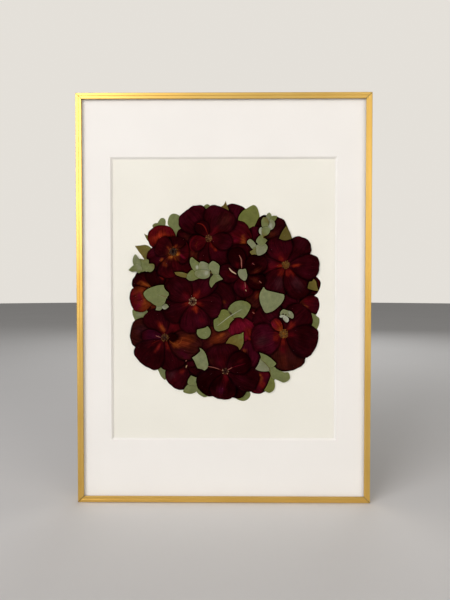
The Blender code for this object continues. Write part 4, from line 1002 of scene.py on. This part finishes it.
class Blade:
    """A petal laid on the card."""

    def __init__(self, foot, petal):
        self.petal = petal
        self.foot = foot
        self.along = arm(math.radians(petal.turn))
        self.across = left_of(self.along)
        self.middle = foot + self.along * petal.length * 0.5
        self.reach = petal.length * PETAL_REACH + OVERLAP_REACH

    def half_width(self, t):
        """Half the petal's width at a share of its length."""
        taper, tip = self.petal.taper, self.petal.tip
        widest = taper / (taper + tip)
        fullest = widest**taper * (1 - widest) ** tip
        return self.petal.width / 2 * t**taper * (1 - t) ** tip / fullest

    def ruffled(self, place):
        """A point of the petal, moved in or out a little so that the rim waves."""
        centre = self.foot + self.along * self.petal.length * RUFFLE_CENTRE
        spoke = place - centre
        angle = math.atan2(spoke.y, spoke.x)
        # Unlike for each petal
        seed = self.petal.turn * 0.37 + self.foot.x * 0.11
        wave = RUFFLE_MEAN + RUFFLE_NOISE * uneven(place, RUFFLE_SIZE, seed)
        for count, shift, height in RUFFLE_WAVES:
            wave += height * math.sin(count * angle + shift * seed)
        reach = min(1.0, spoke.length / (self.petal.width * 0.5))
        return centre + spoke * (1 + RUFFLE * wave * reach**3)

    def gap(self, place):
        """About how far a point lies outside the petal's rim."""
        spoke = place - self.foot
        t = spoke.dot(self.along) / self.petal.length
        if t < PETAL_END:
            return OVERLAP_REACH
        end = 1 - PETAL_END
        beside = abs(spoke.dot(self.across)) - self.half_width(min(t, end))
        return max(beside, (t - end) * self.petal.length)


class LeafCover:
    """A leaf that lies on others."""

    def __init__(self, leaf):
        self.outline = [Vector(point[:2]) for point in leaf.points]
        self.middle = sum(self.outline, Vector((0, 0))) / len(self.outline)
        self.reach = max((point - self.middle).length for point in self.outline) + OVERLAP_REACH

    def gap(self, place):
        return rim_distance(self.outline, place)


def rim_distance(outline, place):
    """The distance from a point to a closed outline."""
    nearest = FAR
    x, y = place
    for i in range(len(outline)):
        (ax, ay), (bx, by) = outline[i - 1], outline[i]
        run_x, run_y = bx - ax, by - ay
        t = ((x - ax) * run_x + (y - ay) * run_y) / (run_x * run_x + run_y * run_y)
        t = min(max(t, 0.0), 1.0)
        nearest = min(nearest, math.hypot(x - ax - run_x * t, y - ay - run_y * t))
    return nearest


def is_near(cover, place, reach):
    return (cover.middle - place).length_squared < (cover.reach + reach) ** 2


def least_gap(place, covers):
    """About how far a point lies from the nearest of the things that lie on top."""
    return min((cover.gap(place) for cover in covers if is_near(cover, place, 0)), default=FAR)


def marked(tone, place, marks):
    """A tone with the marks of colour that reach the place."""
    for mark in marks:
        turn = math.radians(mark.turn)
        spoke = place - Vector((mark.x, mark.z))
        along, across = spoke.dot(arm(turn)), spoke.dot(left_of(arm(turn)))
        far = math.hypot(along / mark.along, across / mark.across)
        tone = mix(tone, mark.tone, fade(far + MARK_RAGGED * uneven(place, MARK_GRAIN, mark.x), 1))
    return tone


def marks_on(name, layer):
    return [mark for mark in MARKS.get(name, ()) if mark.layer == layer]


def wrinkle(place):
    return WRINKLE * (1 + uneven(place, WRINKLE_SIZE, 0.0))


# Petals


def petal_tint(petal, s, t, place, marks, covers):
    """Its tone at s, from side to side as -1 to 1, and t, from base to tip as 0 to 1."""
    inner, middle, tip = petal.tones
    tone = mix(mix(inner, middle, ease(t / FIRST_SPAN)), tip, ease((t - FIRST_SPAN) / LAST_SPAN))
    side = ease((abs(s) - SIDE_RIM) / (1 - SIDE_RIM))
    rim = max(side, ease((t - TIP_RIM) / (1 - TIP_RIM)))
    # Painted shadow beside the petals and leaves that lie on top
    gap = least_gap(place, covers)
    light = 1 - OVERLAP_SHADE * fade(gap, OVERLAP_REACH) - NARROW_SHADOW * fade(gap, NARROW_SHADOW_REACH)
    return shaded(marked(tone, place, marks), (1 - RIM_SHADE * rim) * light)


def add_petal(surface, blade, back, marks, covers):
    """A closed thin sheet with a waving rim, whose back lies at y = back."""
    covers = [other for other in covers if is_near(other, blade.middle, blade.reach)]
    # Unlike for each petal, so that streaks don't repeat
    seed = blade.petal.turn * 0.13 + blade.foot.y * 0.07
    rows = []
    for j in range(PETAL_ALONG + 1):
        t = 0.5 - 0.5 * math.cos(math.pi * j / PETAL_ALONG)
        spine = blade.foot + blade.along * blade.petal.length * t
        is_end = j in (0, PETAL_ALONG)
        row = []
        for i in range(1 if is_end else PETAL_ACROSS + 1):
            s = 0.0 if is_end else math.sin(math.pi * (i / PETAL_ACROSS - 0.5))
            place = blade.ruffled(spine + blade.across * blade.half_width(t) * s)
            front = back - PETAL_THICKNESS - wrinkle(place)
            tint = petal_tint(blade.petal, s, t, place, marks, covers)
            row.append(surface.point(on_card(place, front), tint, (s, t, seed)))
        rows.append(row)
    surface.join_rows(rows)
    left = [row[0] for row in rows[1:-1]]
    right = [row[-1] for row in rows[1:-1]]
    surface.skirt([rows[0][0], *left, rows[-1][0], *reversed(right)], back)


def add_base(surface, bloom, back):
    """The small round base under a bloom's petals, which shows between their narrow ends, in painted
    shade.
    """
    # Painted shade: the lowest petal's inner tone, darkened
    tone = shaded(bloom.petals[0].tones[0], BASE_LIGHT)
    centre = Vector((bloom.x, bloom.z))
    ring = ragged_ring(centre, bloom.ring + BASE_REACH, BASE_SIDES, BASE_WAVE)
    edge = [surface.point(on_card(place, back - 0.5 * PETAL_THICKNESS), tone) for place in ring]
    surface.faces.append(tuple(edge))
    surface.skirt(edge, back)


def add_bloom(name, blades, material, covers):
    """Petals one on another, with their marks, curls and stamens, in place of a CAD node."""
    low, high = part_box(name)
    bloom = BLOOMS[name]
    surface = Surface()
    if len(blades) > 1:
        add_base(surface, bloom, high.y)
    for i, blade in enumerate(blades):
        above = blades[i + 1:] + covers
        add_petal(surface, blade, high.y - i * PETAL_STEP, marks_on(name, i), above)
    top = high.y - (len(blades) - 1) * PETAL_STEP - PETAL_THICKNESS
    for curl in CURLS.get(name, ()):
        add_curl(surface, curl, top)
    if bloom.boss:
        add_boss(surface, Vector((bloom.x, bloom.z)), bloom.boss, top, top - low.y)
    surface.stand_for(name, material)


# Curled rims, veins and stamens


def spline(before, start, end, after, t):
    """The point at t, 0 to 1, of a smooth run from start to end, between their neighbours."""
    leave, arrive = (end - before) / 2, (after - start) / 2
    return (
        start * (2 * t**3 - 3 * t**2 + 1)
        + leave * (t**3 - 2 * t**2 + t)
        + end * (3 * t**2 - 2 * t**3)
        + arrive * (t**3 - t**2)
    )


def curve_through(points, step):
    """Points along a smooth open curve through the given ones, at about the given step."""
    points = [Vector(point) for point in points]
    line = []
    for i in range(len(points) - 1):
        start, end = points[i], points[i + 1]
        before, after = points[max(i - 1, 0)], points[min(i + 2, len(points) - 1)]
        steps = max(2, round((end - start).length / step))
        line += [spline(before, start, end, after, k / steps) for k in range(steps)]
    return line + [points[-1]]


def add_curl(surface, curl, base):
    """A raised strip that tapers at both ends and lies on y = base."""
    line = curve_through(curl.points, CURL_STEP)
    rings = []
    for i, place in enumerate(line):
        across = left_of((line[min(i + 1, len(line) - 1)] - line[max(i - 1, 0)]).normalized())
        run = (i + CURL_END) / (len(line) - 1 + 2 * CURL_END)
        share = math.sin(math.pi * run) ** CURL_TAPER
        wide = curl.width / 2 * share * (1 + CURL_RAGGED * uneven(place, 1, 3.0))
        ring = []
        for side, rise in CURL_SECTION:
            front = base + WRINKLE - (CURL_HEIGHT * share + WRINKLE) * rise
            # Painted light: darker on the sides, lighter on the ridge
            tone = shaded(curl.tone, between(*CURL_LIGHT, rise))
            spot = on_card(place + across * wide * side, front)
            ring.append(surface.point(spot, tone, (side, i / len(line), 1.0)))
        rings.append(ring)
    surface.join_rings(rings)


def add_anther(surface, centre, turn, length, base, height, tone):
    """A small domed body on y = base, longest in the direction turn."""
    along = arm(turn) * length / 2
    across = left_of(along) * ANTHER_SLIMNESS
    rings = []
    for reach, rise in ANTHER_RINGS:
        ring = []
        for k in range(ANTHER_SIDES):
            spoke = arm(2 * math.pi * k / ANTHER_SIDES) * reach
            spot = on_card(centre + along * spoke.x + across * spoke.y, base - height * rise)
            # Painted light: darker at the foot, lighter at the top
            ring.append(surface.point(spot, shaded(tone, between(*ANTHER_LIGHT, rise))))
        rings.append(ring)
    surface.join_rings(rings)


def add_boss(surface, centre, boss, base, room):
    """Anthers in a sunflower pattern on thin stalks round a ragged disc."""
    add_disc(surface, centre, boss, base, room * DISC_HEIGHT)
    for k in range(boss.anthers):
        chance = noise(Vector((k * CHANCE_STEP, *centre)))
        share = math.sqrt((k + 0.5) / boss.anthers)
        radius = between(boss.inner, boss.outer, share)
        radius *= 1 + OUT_CHANCE * noise(Vector((k * OUT_STEP, centre.y, centre.x)))
        angle = k * GOLDEN_ANGLE + ROUND_CHANCE * chance
        step = min(max(share**2 + TONE_CHANCE * chance, 0.0), ALMOST_ONE) * len(boss.tones)
        tone = shaded(boss.tones[int(step)], ANTHER_MEAN_LIGHT + LIGHT_CHANCE * chance)
        line = [centre + arm(angle) * radius * stop for stop in STALK_STOPS]
        stalk = Curl(line, STALK_WIDTH, shaded(tone, STALK_LIGHT))
        add_curl(surface, stalk, base - room * DISC_HEIGHT)
        length = boss.size * (1 + SIZE_CHANCE * chance)
        height = room * (ANTHER_LEAST_HEIGHT + HEIGHT_CHANCE * abs(chance))
        add_anther(surface, line[-1], angle + TURN_CHANCE * chance, length, base, height, tone)


def add_disc(surface, centre, boss, base, height):
    """The disc that the anthers stand on, with a hollow in its middle."""
    rings = []
    for reach, rise, light in DISC_RINGS:
        # Painted shade at the disc's rim and in its hollow
        tone = shaded(boss.disc, light)
        front = base + WRINKLE - height * rise
        ring = ragged_ring(centre, boss.outer * reach, DISC_SIDES, DISC_WAVE)
        rings.append([surface.point(on_card(place, front), tone) for place in ring])
    surface.join_rings(rings)


# Leaves


def smooth_outline(points, step):
    """A finer closed outline through the given points, which keeps the corners sharp."""
    places = [Vector(point[:2]) for point in points]
    sharp = [len(point) > 2 for point in points]
    count = len(places)
    outline = []
    for i in range(count):
        start, end = places[i], places[(i + 1) % count]
        before = start * 2 - end if sharp[i] else places[i - 1]
        after = end * 2 - start if sharp[(i + 1) % count] else places[(i + 2) % count]
        steps = max(1, round((end - start).length / step))
        outline += [spline(before, start, end, after, k / steps) for k in range(steps)]
    return outline


def toothed(outline, teeth):
    """The outline with small saw teeth that point along it."""
    walked = 0.0
    line = []
    for i, place in enumerate(outline):
        ahead = outline[(i + 1) % len(outline)] - place
        line.append(place + left_of(ahead).normalized() * teeth * (walked / TOOTH_PITCH % 1.0 - 0.5))
        walked += ahead.length
    return line


def leaf_mesh(outline, low, high):
    """Triangles inside an outline, from its own points and a grid: (points, triangles)."""
    grid = []
    for i in range(int((high.x - low.x) / LEAF_GRID) + 1):
        for j in range(int((high.y - low.y) / LEAF_GRID) + 1):
            spot = low + Vector((i + 0.5 * (j % 2), j)) * LEAF_GRID
            if rim_distance(outline, spot) > LEAF_GRID * 0.5:
                grid.append(spot)
    edges = [(i, (i + 1) % len(outline)) for i in range(len(outline))]
    points, _, faces, *_ = delaunay_2d_cdt(outline + grid, edges, [], INSIDE_ONLY, MERGE_DISTANCE)
    return points, faces


def leaf_tint(leaf, place, low, high, inside, marks, covers):
    """Its tones from lower left to upper right, with a paler rim and painted shadow beside leaves on
    top.
    """
    share = ((place.x - low.x) / (high.x - low.x) + (place.y - low.y) / (high.y - low.y)) / 2
    share += LEAF_RAGGED * uneven(place, LEAF_GRAIN, low.x)
    step = min(max(share, 0.0), ALMOST_ONE) * (len(leaf.tones) - 1)
    index = int(step)
    tone = mix(leaf.tones[index], leaf.tones[index + 1], ease(step - index))
    light = LEAF_RIM_LIGHT - LEAF_INNER_SHADE * ease(inside / LEAF_RIM)
    light += LEAF_MOTTLE * uneven(place, LEAF_MOTTLE_SIZE, low.y)
    # Painted shadow beside the leaves that lie on top
    light *= 1 - LEAF_SHADE * fade(least_gap(place, covers), LEAF_REACH)
    return shaded(marked(tone, place, marks), light)


def add_leaf(surface, leaf, back, marks, covers):
    """A flat closed sheet whose back lies at y = back."""
    outline = smooth_outline(leaf.points, LEAF_GRID / 2 if leaf.teeth else LEAF_GRID)
    if leaf.teeth:
        outline = toothed(outline, leaf.teeth)
    low, high = Vector(map(min, *outline)), Vector(map(max, *outline))
    points, faces = leaf_mesh(outline, low, high)
    tops = {}
    sides = set()
    for face in faces:
        for i, index in enumerate(face):
            sides.add((face[i - 1], index))
            if index not in tops:
                place = points[index]
                inside = rim_distance(outline, place)
                tint = leaf_tint(leaf, place, low, high, inside, marks, covers)
                front = back - LEAF_THICKNESS - wrinkle(place) * ease(inside / LEAF_FLAT_RIM)
                tops[index] = surface.point(on_card(place, front), tint)
        surface.faces.append(tuple(tops[index] for index in face))
    # The edge: sides that only one triangle has, each followed by the next
    follows = {a: b for a, b in sides if (b, a) not in sides}
    edge, index = [], min(follows)
    while len(edge) < len(follows):
        edge.append(tops[index])
        index = follows[index]
    surface.skirt(edge, back)


def add_leaves(name, leaves, material):
    """Leaves one on another, with their veins, in place of a CAD node."""
    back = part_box(name)[1].y
    surface = Surface()
    covers = [LeafCover(leaf) for leaf in leaves]
    for i, leaf in enumerate(leaves):
        add_leaf(surface, leaf, back - i * LEAF_STEP, marks_on(name, i), covers[i + 1:])
    for curl in CURLS.get(name, ()):
        add_curl(surface, curl, back - (len(leaves) - 1) * LEAF_STEP - LEAF_THICKNESS)
    surface.stand_for(name, material)


def bloom_blades(bloom):
    """A bloom's petals, each from its place on the ring."""
    blades = []
    for petal in bloom.petals:
        turn = math.radians(petal.turn)
        x = bloom.x + bloom.ring * math.cos(turn)
        z = bloom.z + bloom.ring * math.sin(turn)
        blades.append(Blade(Vector((x, z)), petal))
    return blades


def add_specimens():
    """Petals get painted shadow beside all that lies nearer the glass."""
    petal, leaf = petal_material(), leaf_material()
    laid = {name: bloom_blades(bloom) for name, bloom in BLOOMS.items()}
    covers = dict(laid)
    covers.update((name, [LeafCover(row) for row in leaves]) for name, leaves in LEAVES.items())
    levels = {name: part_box(name)[1].y for name in covers}
    for name, blades in laid.items():
        level = levels[name] - LEVEL_GAP
        above = [cover for other in covers if levels[other] < level for cover in covers[other]]
        add_bloom(name, blades, petal, above)
    for name, leaves in LEAVES.items():
        add_leaves(name, leaves, leaf)


# Materials


class Shading:
    """A node material with a Principled shader and short ways to add and link nodes."""

    def __init__(self, name, **values):
        """Sets sockets of the shader, named with underscores for spaces."""
        self.material = bpy.data.materials.new(name)
        self.material.use_nodes = True
        self.nodes = self.material.node_tree.nodes
        self.shader = self.nodes["Principled BSDF"]
        for socket, value in values.items():
            self.shader.inputs[socket.replace("_", " ")].default_value = value

    def link(self, source, target):
        self.material.node_tree.links.new(source, target)

    def feed(self, target, value):
        """Links an output to a socket, or sets the socket to a number or a tone."""
        if hasattr(value, "is_linked"):
            self.link(value, target)
        elif target.type == "RGBA":
            target.default_value = (*value, 1.0)
        else:
            target.default_value = value

    def place(self, stretch=(1, 1, 1)):
        """Object coordinates in metres, stretched."""
        return self.scaled(self.nodes.new("ShaderNodeTexCoord").outputs["Object"], stretch)

    def scaled(self, source, stretch):
        mapping = self.nodes.new("ShaderNodeMapping")
        mapping.inputs["Scale"].default_value = stretch
        self.link(source, mapping.inputs["Vector"])
        return mapping.outputs["Vector"]

    def attribute(self, name, output):
        node = self.nodes.new("ShaderNodeAttribute")
        node.attribute_name = name
        return node.outputs[output]

    def noise(self, vector, scale, detail=3.0, roughness=0.55):
        """Noise of about scale blobs a unit of the vector."""
        node = self.nodes.new("ShaderNodeTexNoise")
        node.inputs["Scale"].default_value = scale
        node.inputs["Detail"].default_value = detail
        node.inputs["Roughness"].default_value = roughness
        self.link(vector, node.inputs["Vector"])
        return node.outputs["Fac"]

    def math(self, operation, *values):
        node = self.nodes.new("ShaderNodeMath")
        node.operation = operation
        for socket, value in zip(node.inputs, values):
            self.feed(socket, value)
        return node.outputs["Value"]

    def product(self, *factors):
        total = factors[0]
        for factor in factors[1:]:
            total = self.math("MULTIPLY", total, factor)
        return total

    def weighed(self, *pairs):
        """The sum of numbers times their weights."""
        total = 0.0
        for value, weight in pairs:
            total = self.math("MULTIPLY_ADD", value, weight, total)
        return total

    def spread(self, value, out_low, out_high, low=0.3, high=0.7):
        """Maps low..high, nearly all of a noise, to out_low..out_high, and holds it at the ends."""
        node = self.nodes.new("ShaderNodeMapRange")
        for socket, number in zip(node.inputs, (value, low, high, out_low, out_high)):
            self.feed(socket, number)
        return node.outputs["Result"]

    def blend(self, share, first, second):
        node = self.nodes.new("ShaderNodeMix")
        node.data_type = "RGBA"
        for socket, value in zip((node.inputs[0], *node.inputs[6:8]), (share, first, second)):
            self.feed(socket, value)
        return node.outputs[2]

    def times(self, tone, light):
        """A tone multiplied by a number."""
        node = self.nodes.new("ShaderNodeVectorMath")
        node.operation = "SCALE"
        self.feed(node.inputs[0], tone)
        self.feed(node.inputs["Scale"], light)
        return node.outputs["Vector"]

    def colour(self, source):
        self.link(source, self.shader.inputs["Base Color"])

    def roughness(self, source):
        self.link(source, self.shader.inputs["Roughness"])

    def bump(self, height, strength, distance):
        node = self.nodes.new("ShaderNodeBump")
        node.inputs["Strength"].default_value = strength
        node.inputs["Distance"].default_value = distance
        self.link(height, node.inputs["Height"])
        self.link(node.outputs["Normal"], self.shader.inputs["Normal"])


def petal_material():
    """Matt, with streaks from base to tip, blotches and a mauve haze here and there."""
    shading = Shading("pressed_petal", Roughness=0.9, Specular_IOR_Level=0.0)
    grain = shading.attribute("grain", "Vector")
    place = shading.place()
    streaks = shading.noise(shading.scaled(grain, (7.0, 1.3, 9.0)), 1.6, 4.0, 0.6)
    creases = shading.noise(shading.scaled(grain, (22.0, 2.5, 9.0)), 1.5, 2.0)
    blotches = shading.noise(place, 75.0, 4.0, 0.6)
    specks = shading.noise(place, 900.0, 2.0)
    light = shading.product(
        shading.spread(streaks, 0.55, 1.40),
        shading.spread(blotches, 0.66, 1.34),
        shading.spread(creases, 0.88, 1.12, 0.35, 0.65),
        shading.spread(specks, 0.85, 1.15),
    )
    haze = shading.spread(shading.noise(place, 38.0), 0.0, 0.10, 0.52, 0.75)
    tint = shading.attribute("tint", "Color")
    shading.colour(shading.times(shading.blend(haze, tint, (0.070, 0.011, 0.022)), light))
    shading.bump(shading.weighed((streaks, 1.0), (creases, 0.5), (blotches, 1.5)), 0.6, 1.2 * MM)
    return shading.material


def leaf_material():
    """Matt and felted, with a faint mottle, fine dots and dry patches."""
    shading = Shading("pressed_leaf", Roughness=0.85, Specular_IOR_Level=0.12)
    place = shading.place()
    mottle = shading.noise(place, 160.0, 4.0, 0.6)
    felt = shading.noise(place, 1400.0, 2.0)
    light = shading.product(shading.spread(mottle, 0.86, 1.13), shading.spread(felt, 0.88, 1.12))
    dry = shading.spread(shading.noise(place, 60.0), 0.0, 0.25, 0.45, 0.75)
    tint = shading.attribute("tint", "Color")
    shading.colour(shading.times(shading.blend(dry, tint, (0.14, 0.125, 0.045)), light))
    shading.bump(shading.weighed((mottle, 1.0), (felt, 0.3)), 0.5, 0.8 * MM)
    return shading.material


def gold_material(along):
    """Satin anodised aluminium, brushed along the rail's axis, x or z."""
    shading = Shading("gold_" + along, Metallic=1.0, Coat_Weight=0.25, Coat_Roughness=0.28)
    stretch = {"x": (8, 1400, 1400), "z": (1400, 1400, 8)}[along]
    brushed = shading.noise(shading.place(stretch), 1.0, 3.0, 0.6)
    cloud = shading.spread(shading.noise(shading.place(), 14.0, 2.0), 0.0, 1.0)
    tone = shading.blend(cloud, (0.79, 0.505, 0.120), (0.83, 0.545, 0.142))
    light = shading.product(shading.spread(brushed, 0.94, 1.05), mitre_line(shading))
    shading.colour(shading.times(tone, light))
    shading.roughness(shading.spread(brushed, 0.33, 0.43))
    shading.bump(brushed, 0.12, 0.2 * MM)
    return shading.material


def mitre_line(shading):
    """1 away from the mitred joints, and darker within a millimetre of them."""
    low, high = CAD_BOX
    parts = shading.nodes.new("ShaderNodeSeparateXYZ")
    shading.link(shading.place(), parts.inputs[0])
    side = shading.math("SUBTRACT", high.x, shading.math("ABSOLUTE", parts.outputs["X"]))
    height = shading.math("SUBTRACT", parts.outputs["Z"], CENTRE_Z)
    end = shading.math("SUBTRACT", (high.z - low.z) / 2, shading.math("ABSOLUTE", height))
    gap = shading.math("ABSOLUTE", shading.math("SUBTRACT", side, end))
    return shading.spread(gap, 0.45, 1.0, 0.3 * MM, 1.4 * MM)


def steel_material(name, tone, rough):
    """Plated or blued sheet steel with a fine grain and patches."""
    shading = Shading(name, Metallic=1.0)
    grain = shading.noise(shading.place((300, 300, 1200)), 1.0)
    patches = shading.noise(shading.place(), 120.0)
    light = shading.product(shading.spread(grain, 0.9, 1.08), shading.spread(patches, 0.85, 1.1))
    shading.colour(shading.times(tone, light))
    shading.roughness(shading.spread(patches, rough - 0.06, rough + 0.1))
    shading.bump(grain, 0.15, 0.2 * MM)
    return shading.material


def board_material(name, light_tone, dark_tone, fibre, strength):
    """Paper and board: fine fibres and a slow unevenness of tone."""
    shading = Shading(name, Roughness=0.92, Specular_IOR_Level=0.2)
    place = shading.place()
    fibres = shading.noise(place, fibre, 4.0, 0.7)
    tooth = shading.noise(place, fibre * 3.1, 2.0)
    share = shading.weighed((shading.noise(place, 9.0), 0.5), (fibres, 0.5))
    shading.colour(shading.blend(shading.spread(share, 0.0, 1.0, 0.35, 0.65), light_tone, dark_tone))
    shading.bump(shading.weighed((fibres, 1.0), (tooth, 0.6)), strength, 0.3 * MM)
    return shading.material


def hardboard_material():
    """Pressed brown fibres in clumps."""
    shading = Shading("hardboard", Roughness=0.72, Specular_IOR_Level=0.3)
    place = shading.place()
    fibres = shading.noise(place, 420.0, 5.0, 0.7)
    clumps = shading.noise(place, 60.0, 4.0, 0.65)
    share = shading.spread(shading.weighed((fibres, 0.65), (clumps, 0.35)), 0.0, 1.0, 0.35, 0.65)
    shading.colour(shading.blend(share, (0.19, 0.098, 0.045), (0.34, 0.20, 0.105)))
    shading.bump(fibres, 0.4, 0.4 * MM)
    return shading.material


def glass_material():
    """Clear non-reflecting glass that lets lamplight through to the flowers."""
    shading = Shading("clear_glass", Transmission_Weight=1.0, IOR=1.5,
                      Specular_Tint=(0.0, 0.0, 0.0, 1.0), Base_Color=(0.985, 0.995, 0.99, 1.0))
    smears = shading.noise(shading.place(), 22.0, 4.0)
    shading.roughness(shading.spread(smears, 0.0, 0.012, 0.45, 0.75))
    rays = shading.nodes.new("ShaderNodeLightPath")
    clear = shading.nodes.new("ShaderNodeBsdfTransparent")
    clear.inputs["Color"].default_value = (0.98, 0.985, 0.98, 1.0)
    surface = shading.shader.outputs[0]
    for kind in ("Is Diffuse Ray", "Is Shadow Ray"):
        join = shading.nodes.new("ShaderNodeMixShader")
        for socket, source in zip(join.inputs, (rays.outputs[kind], surface, clear.outputs[0])):
            shading.link(source, socket)
        surface = join.outputs[0]
    shading.link(surface, shading.nodes["Material Output"].inputs["Surface"])
    return shading.material


def paint(name, material):
    """Gives a CAD node its material."""
    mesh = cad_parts[name].data
    mesh.materials.clear()
    mesh.materials.append(material)


def paint_frame():
    """Paints the CAD nodes that show, and gives back the zinc of the hardware."""
    gold = {"top": gold_material("x"), "left": gold_material("z")}
    gold.update(bottom=gold["top"], right=gold["left"])
    for side, metal in gold.items():
        paint(side + "_rail", metal)
    zinc = steel_material("zinc", (0.52, 0.52, 0.50), 0.36)
    blued = steel_material("blued_steel", (0.13, 0.14, 0.17), 0.30)
    for side in ("left", "right"):
        paint("hanger_" + side, zinc)
        for end in ("top", "bottom"):
            paint(f"corner_angle_{end}_{side}", zinc)
        for end in ("upper", "lower"):
            paint(f"spring_clip_{side}_{end}", blued)
    white, shadow = (0.91, 0.88, 0.86), (0.875, 0.845, 0.825)
    ivory, deep = (0.88, 0.855, 0.79), (0.84, 0.815, 0.75)
    paint("glass", glass_material())
    paint("mat", board_material("mat_board", white, shadow, 700.0, 0.22))
    paint("card", board_material("ivory_card", ivory, deep, 500.0, 0.3))
    paint("backboard", hardboard_material())
    return zinc


# Screws and rivets


def turned(name, profile, sides, places, material):
    """Copies of a turned solid, joined as one piece. Its profile rises towards +Y."""
    build = bmesh.new()
    for place in places:
        rings = []
        for radius, rise in profile:
            ring = []
            for k in range(sides):
                spoke = arm(2 * math.pi * k / sides) * radius
                ring.append(build.verts.new(place + Vector((spoke.x, rise, spoke.y)) * MM))
            rings.append(ring)
        for near, far in zip(rings, rings[1:]):
            for k in range(sides):
                build.faces.new((near[k - 1], near[k], far[k], far[k - 1]))
        build.faces.new(rings[0])
        build.faces.new(rings[-1])
    piece = finished(name, bpy.data.meshes.new(name), build, material, TURNED_CREASE)
    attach(piece, "root")


def add_screws(material):
    """Two grub screws in each corner angle, seen through the rails' rear slots."""
    places = []
    for end, up in (("top", 1), ("bottom", -1)):
        for side, right in (("left", -1), ("right", 1)):
            low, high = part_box(f"corner_angle_{end}_{side}")
            x = high.x if right > 0 else low.x
            z = high.z if up > 0 else low.z
            ways = (SCREW_FROM_SIDE, SCREW_FROM_CORNER), (SCREW_FROM_CORNER, SCREW_FROM_SIDE)
            for run, rise in ways:
                places.append(Vector((x - right * run * MM, high.y, z - up * rise * MM)))
    turned("grub_screws", SCREW_PROFILE, SCREW_SIDES, places, material)


def add_rivets(material):
    """A rivet through each end of both hangers."""
    places = []
    for side in ("left", "right"):
        low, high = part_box("hanger_" + side)
        for x in (low.x + RIVET_FROM_END * MM, high.x - RIVET_FROM_END * MM):
            places.append(Vector((x, low.y + HANGER_SHEET * MM, (low.z + high.z) / 2)))
    turned("rivets", RIVET_PROFILE, RIVET_SIDES, places, material)


# Stage


def add_floor():
    """A pale floor just under the frame."""
    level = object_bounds()[0].z - FLOOR_DROP
    mesh = bpy.data.meshes.new("floor")
    build = bmesh.new()
    bmesh.ops.create_circle(build, cap_ends=True, radius=FLOOR_RADIUS, segments=FLOOR_SIDES)
    build.to_mesh(mesh)
    build.free()
    shading = Shading("pale_floor", Roughness=0.9, Specular_IOR_Level=0.1)
    shading.colour(shading.blend(shading.noise(shading.place(), 1.5), *FLOOR_TONES))
    mesh.materials.append(shading.material)
    floor = placed("floor", mesh)
    floor.location.z = level


def add_lights():
    """Two large soft lamps and one behind, in a surround that is brighter and cooler to the left."""
    centre = Vector((0, 0, CENTRE_Z))
    for name, lamp in LAMPS.items():
        light = bpy.data.lights.new(name, "AREA")
        light.shape = "RECTANGLE"
        light.size, light.size_y = lamp.size
        light.energy = lamp.watts
        light.color = lamp.tone
        holder = placed(name, light)
        holder.visible_transmission = False
        holder.location = lamp.place
        holder.rotation_euler = (centre - Vector(lamp.place)).to_track_quat("-Z", "Y").to_euler()
    world = bpy.data.worlds.new("studio")
    world.use_nodes = True
    shade_surround(world.node_tree)
    bpy.context.scene.world = world
    bpy.context.scene.view_settings.view_transform = "Standard"


def shade_surround(tree):
    """An even pale tone for the camera, and a soft slope of light from the upper left for the rest."""
    sky = tree.nodes["Background"]
    slope = tree.nodes.new("ShaderNodeVectorMath")
    slope.operation = "DOT_PRODUCT"
    slope.inputs[1].default_value = SURROUND_SLOPE
    light = tree.nodes.new("ShaderNodeMapRange")
    for socket, value in zip(light.inputs[1:5], SURROUND_RANGE):
        socket.default_value = value
    tint = tree.nodes.new("ShaderNodeMix")
    tint.data_type = "RGBA"
    tint.inputs[6].default_value = SURROUND_WARM
    tint.inputs[7].default_value = SURROUND_COOL
    seen = tree.nodes.new("ShaderNodeMix")
    seen.inputs["B"].default_value = SURROUND_SEEN
    for source, target in (
        (tree.nodes.new("ShaderNodeTexCoord").outputs["Generated"], slope.inputs[0]),
        (slope.outputs["Value"], light.inputs["Value"]),
        (light.outputs["Result"], tint.inputs["Factor"]),
        (tint.outputs[2], sky.inputs["Color"]),
        (tree.nodes.new("ShaderNodeLightPath").outputs["Is Camera Ray"], seen.inputs["Factor"]),
        (light.outputs["Result"], seen.inputs["A"]),
        (seen.outputs["Result"], sky.inputs["Strength"]),
    ):
        tree.links.new(source, target)


def add_camera():
    lens = bpy.data.cameras.new("camera")
    lens.lens = LENS
    camera = placed("camera", lens)
    camera.location = CAMERA_PLACE
    camera.rotation_euler = [math.radians(angle) for angle in CAMERA_TURN]
    bpy.context.scene.camera = camera


def main():
    add_specimens()
    zinc = paint_frame()
    add_screws(zinc)
    add_rivets(zinc)
    add_floor()
    add_lights()
    add_camera()


main()
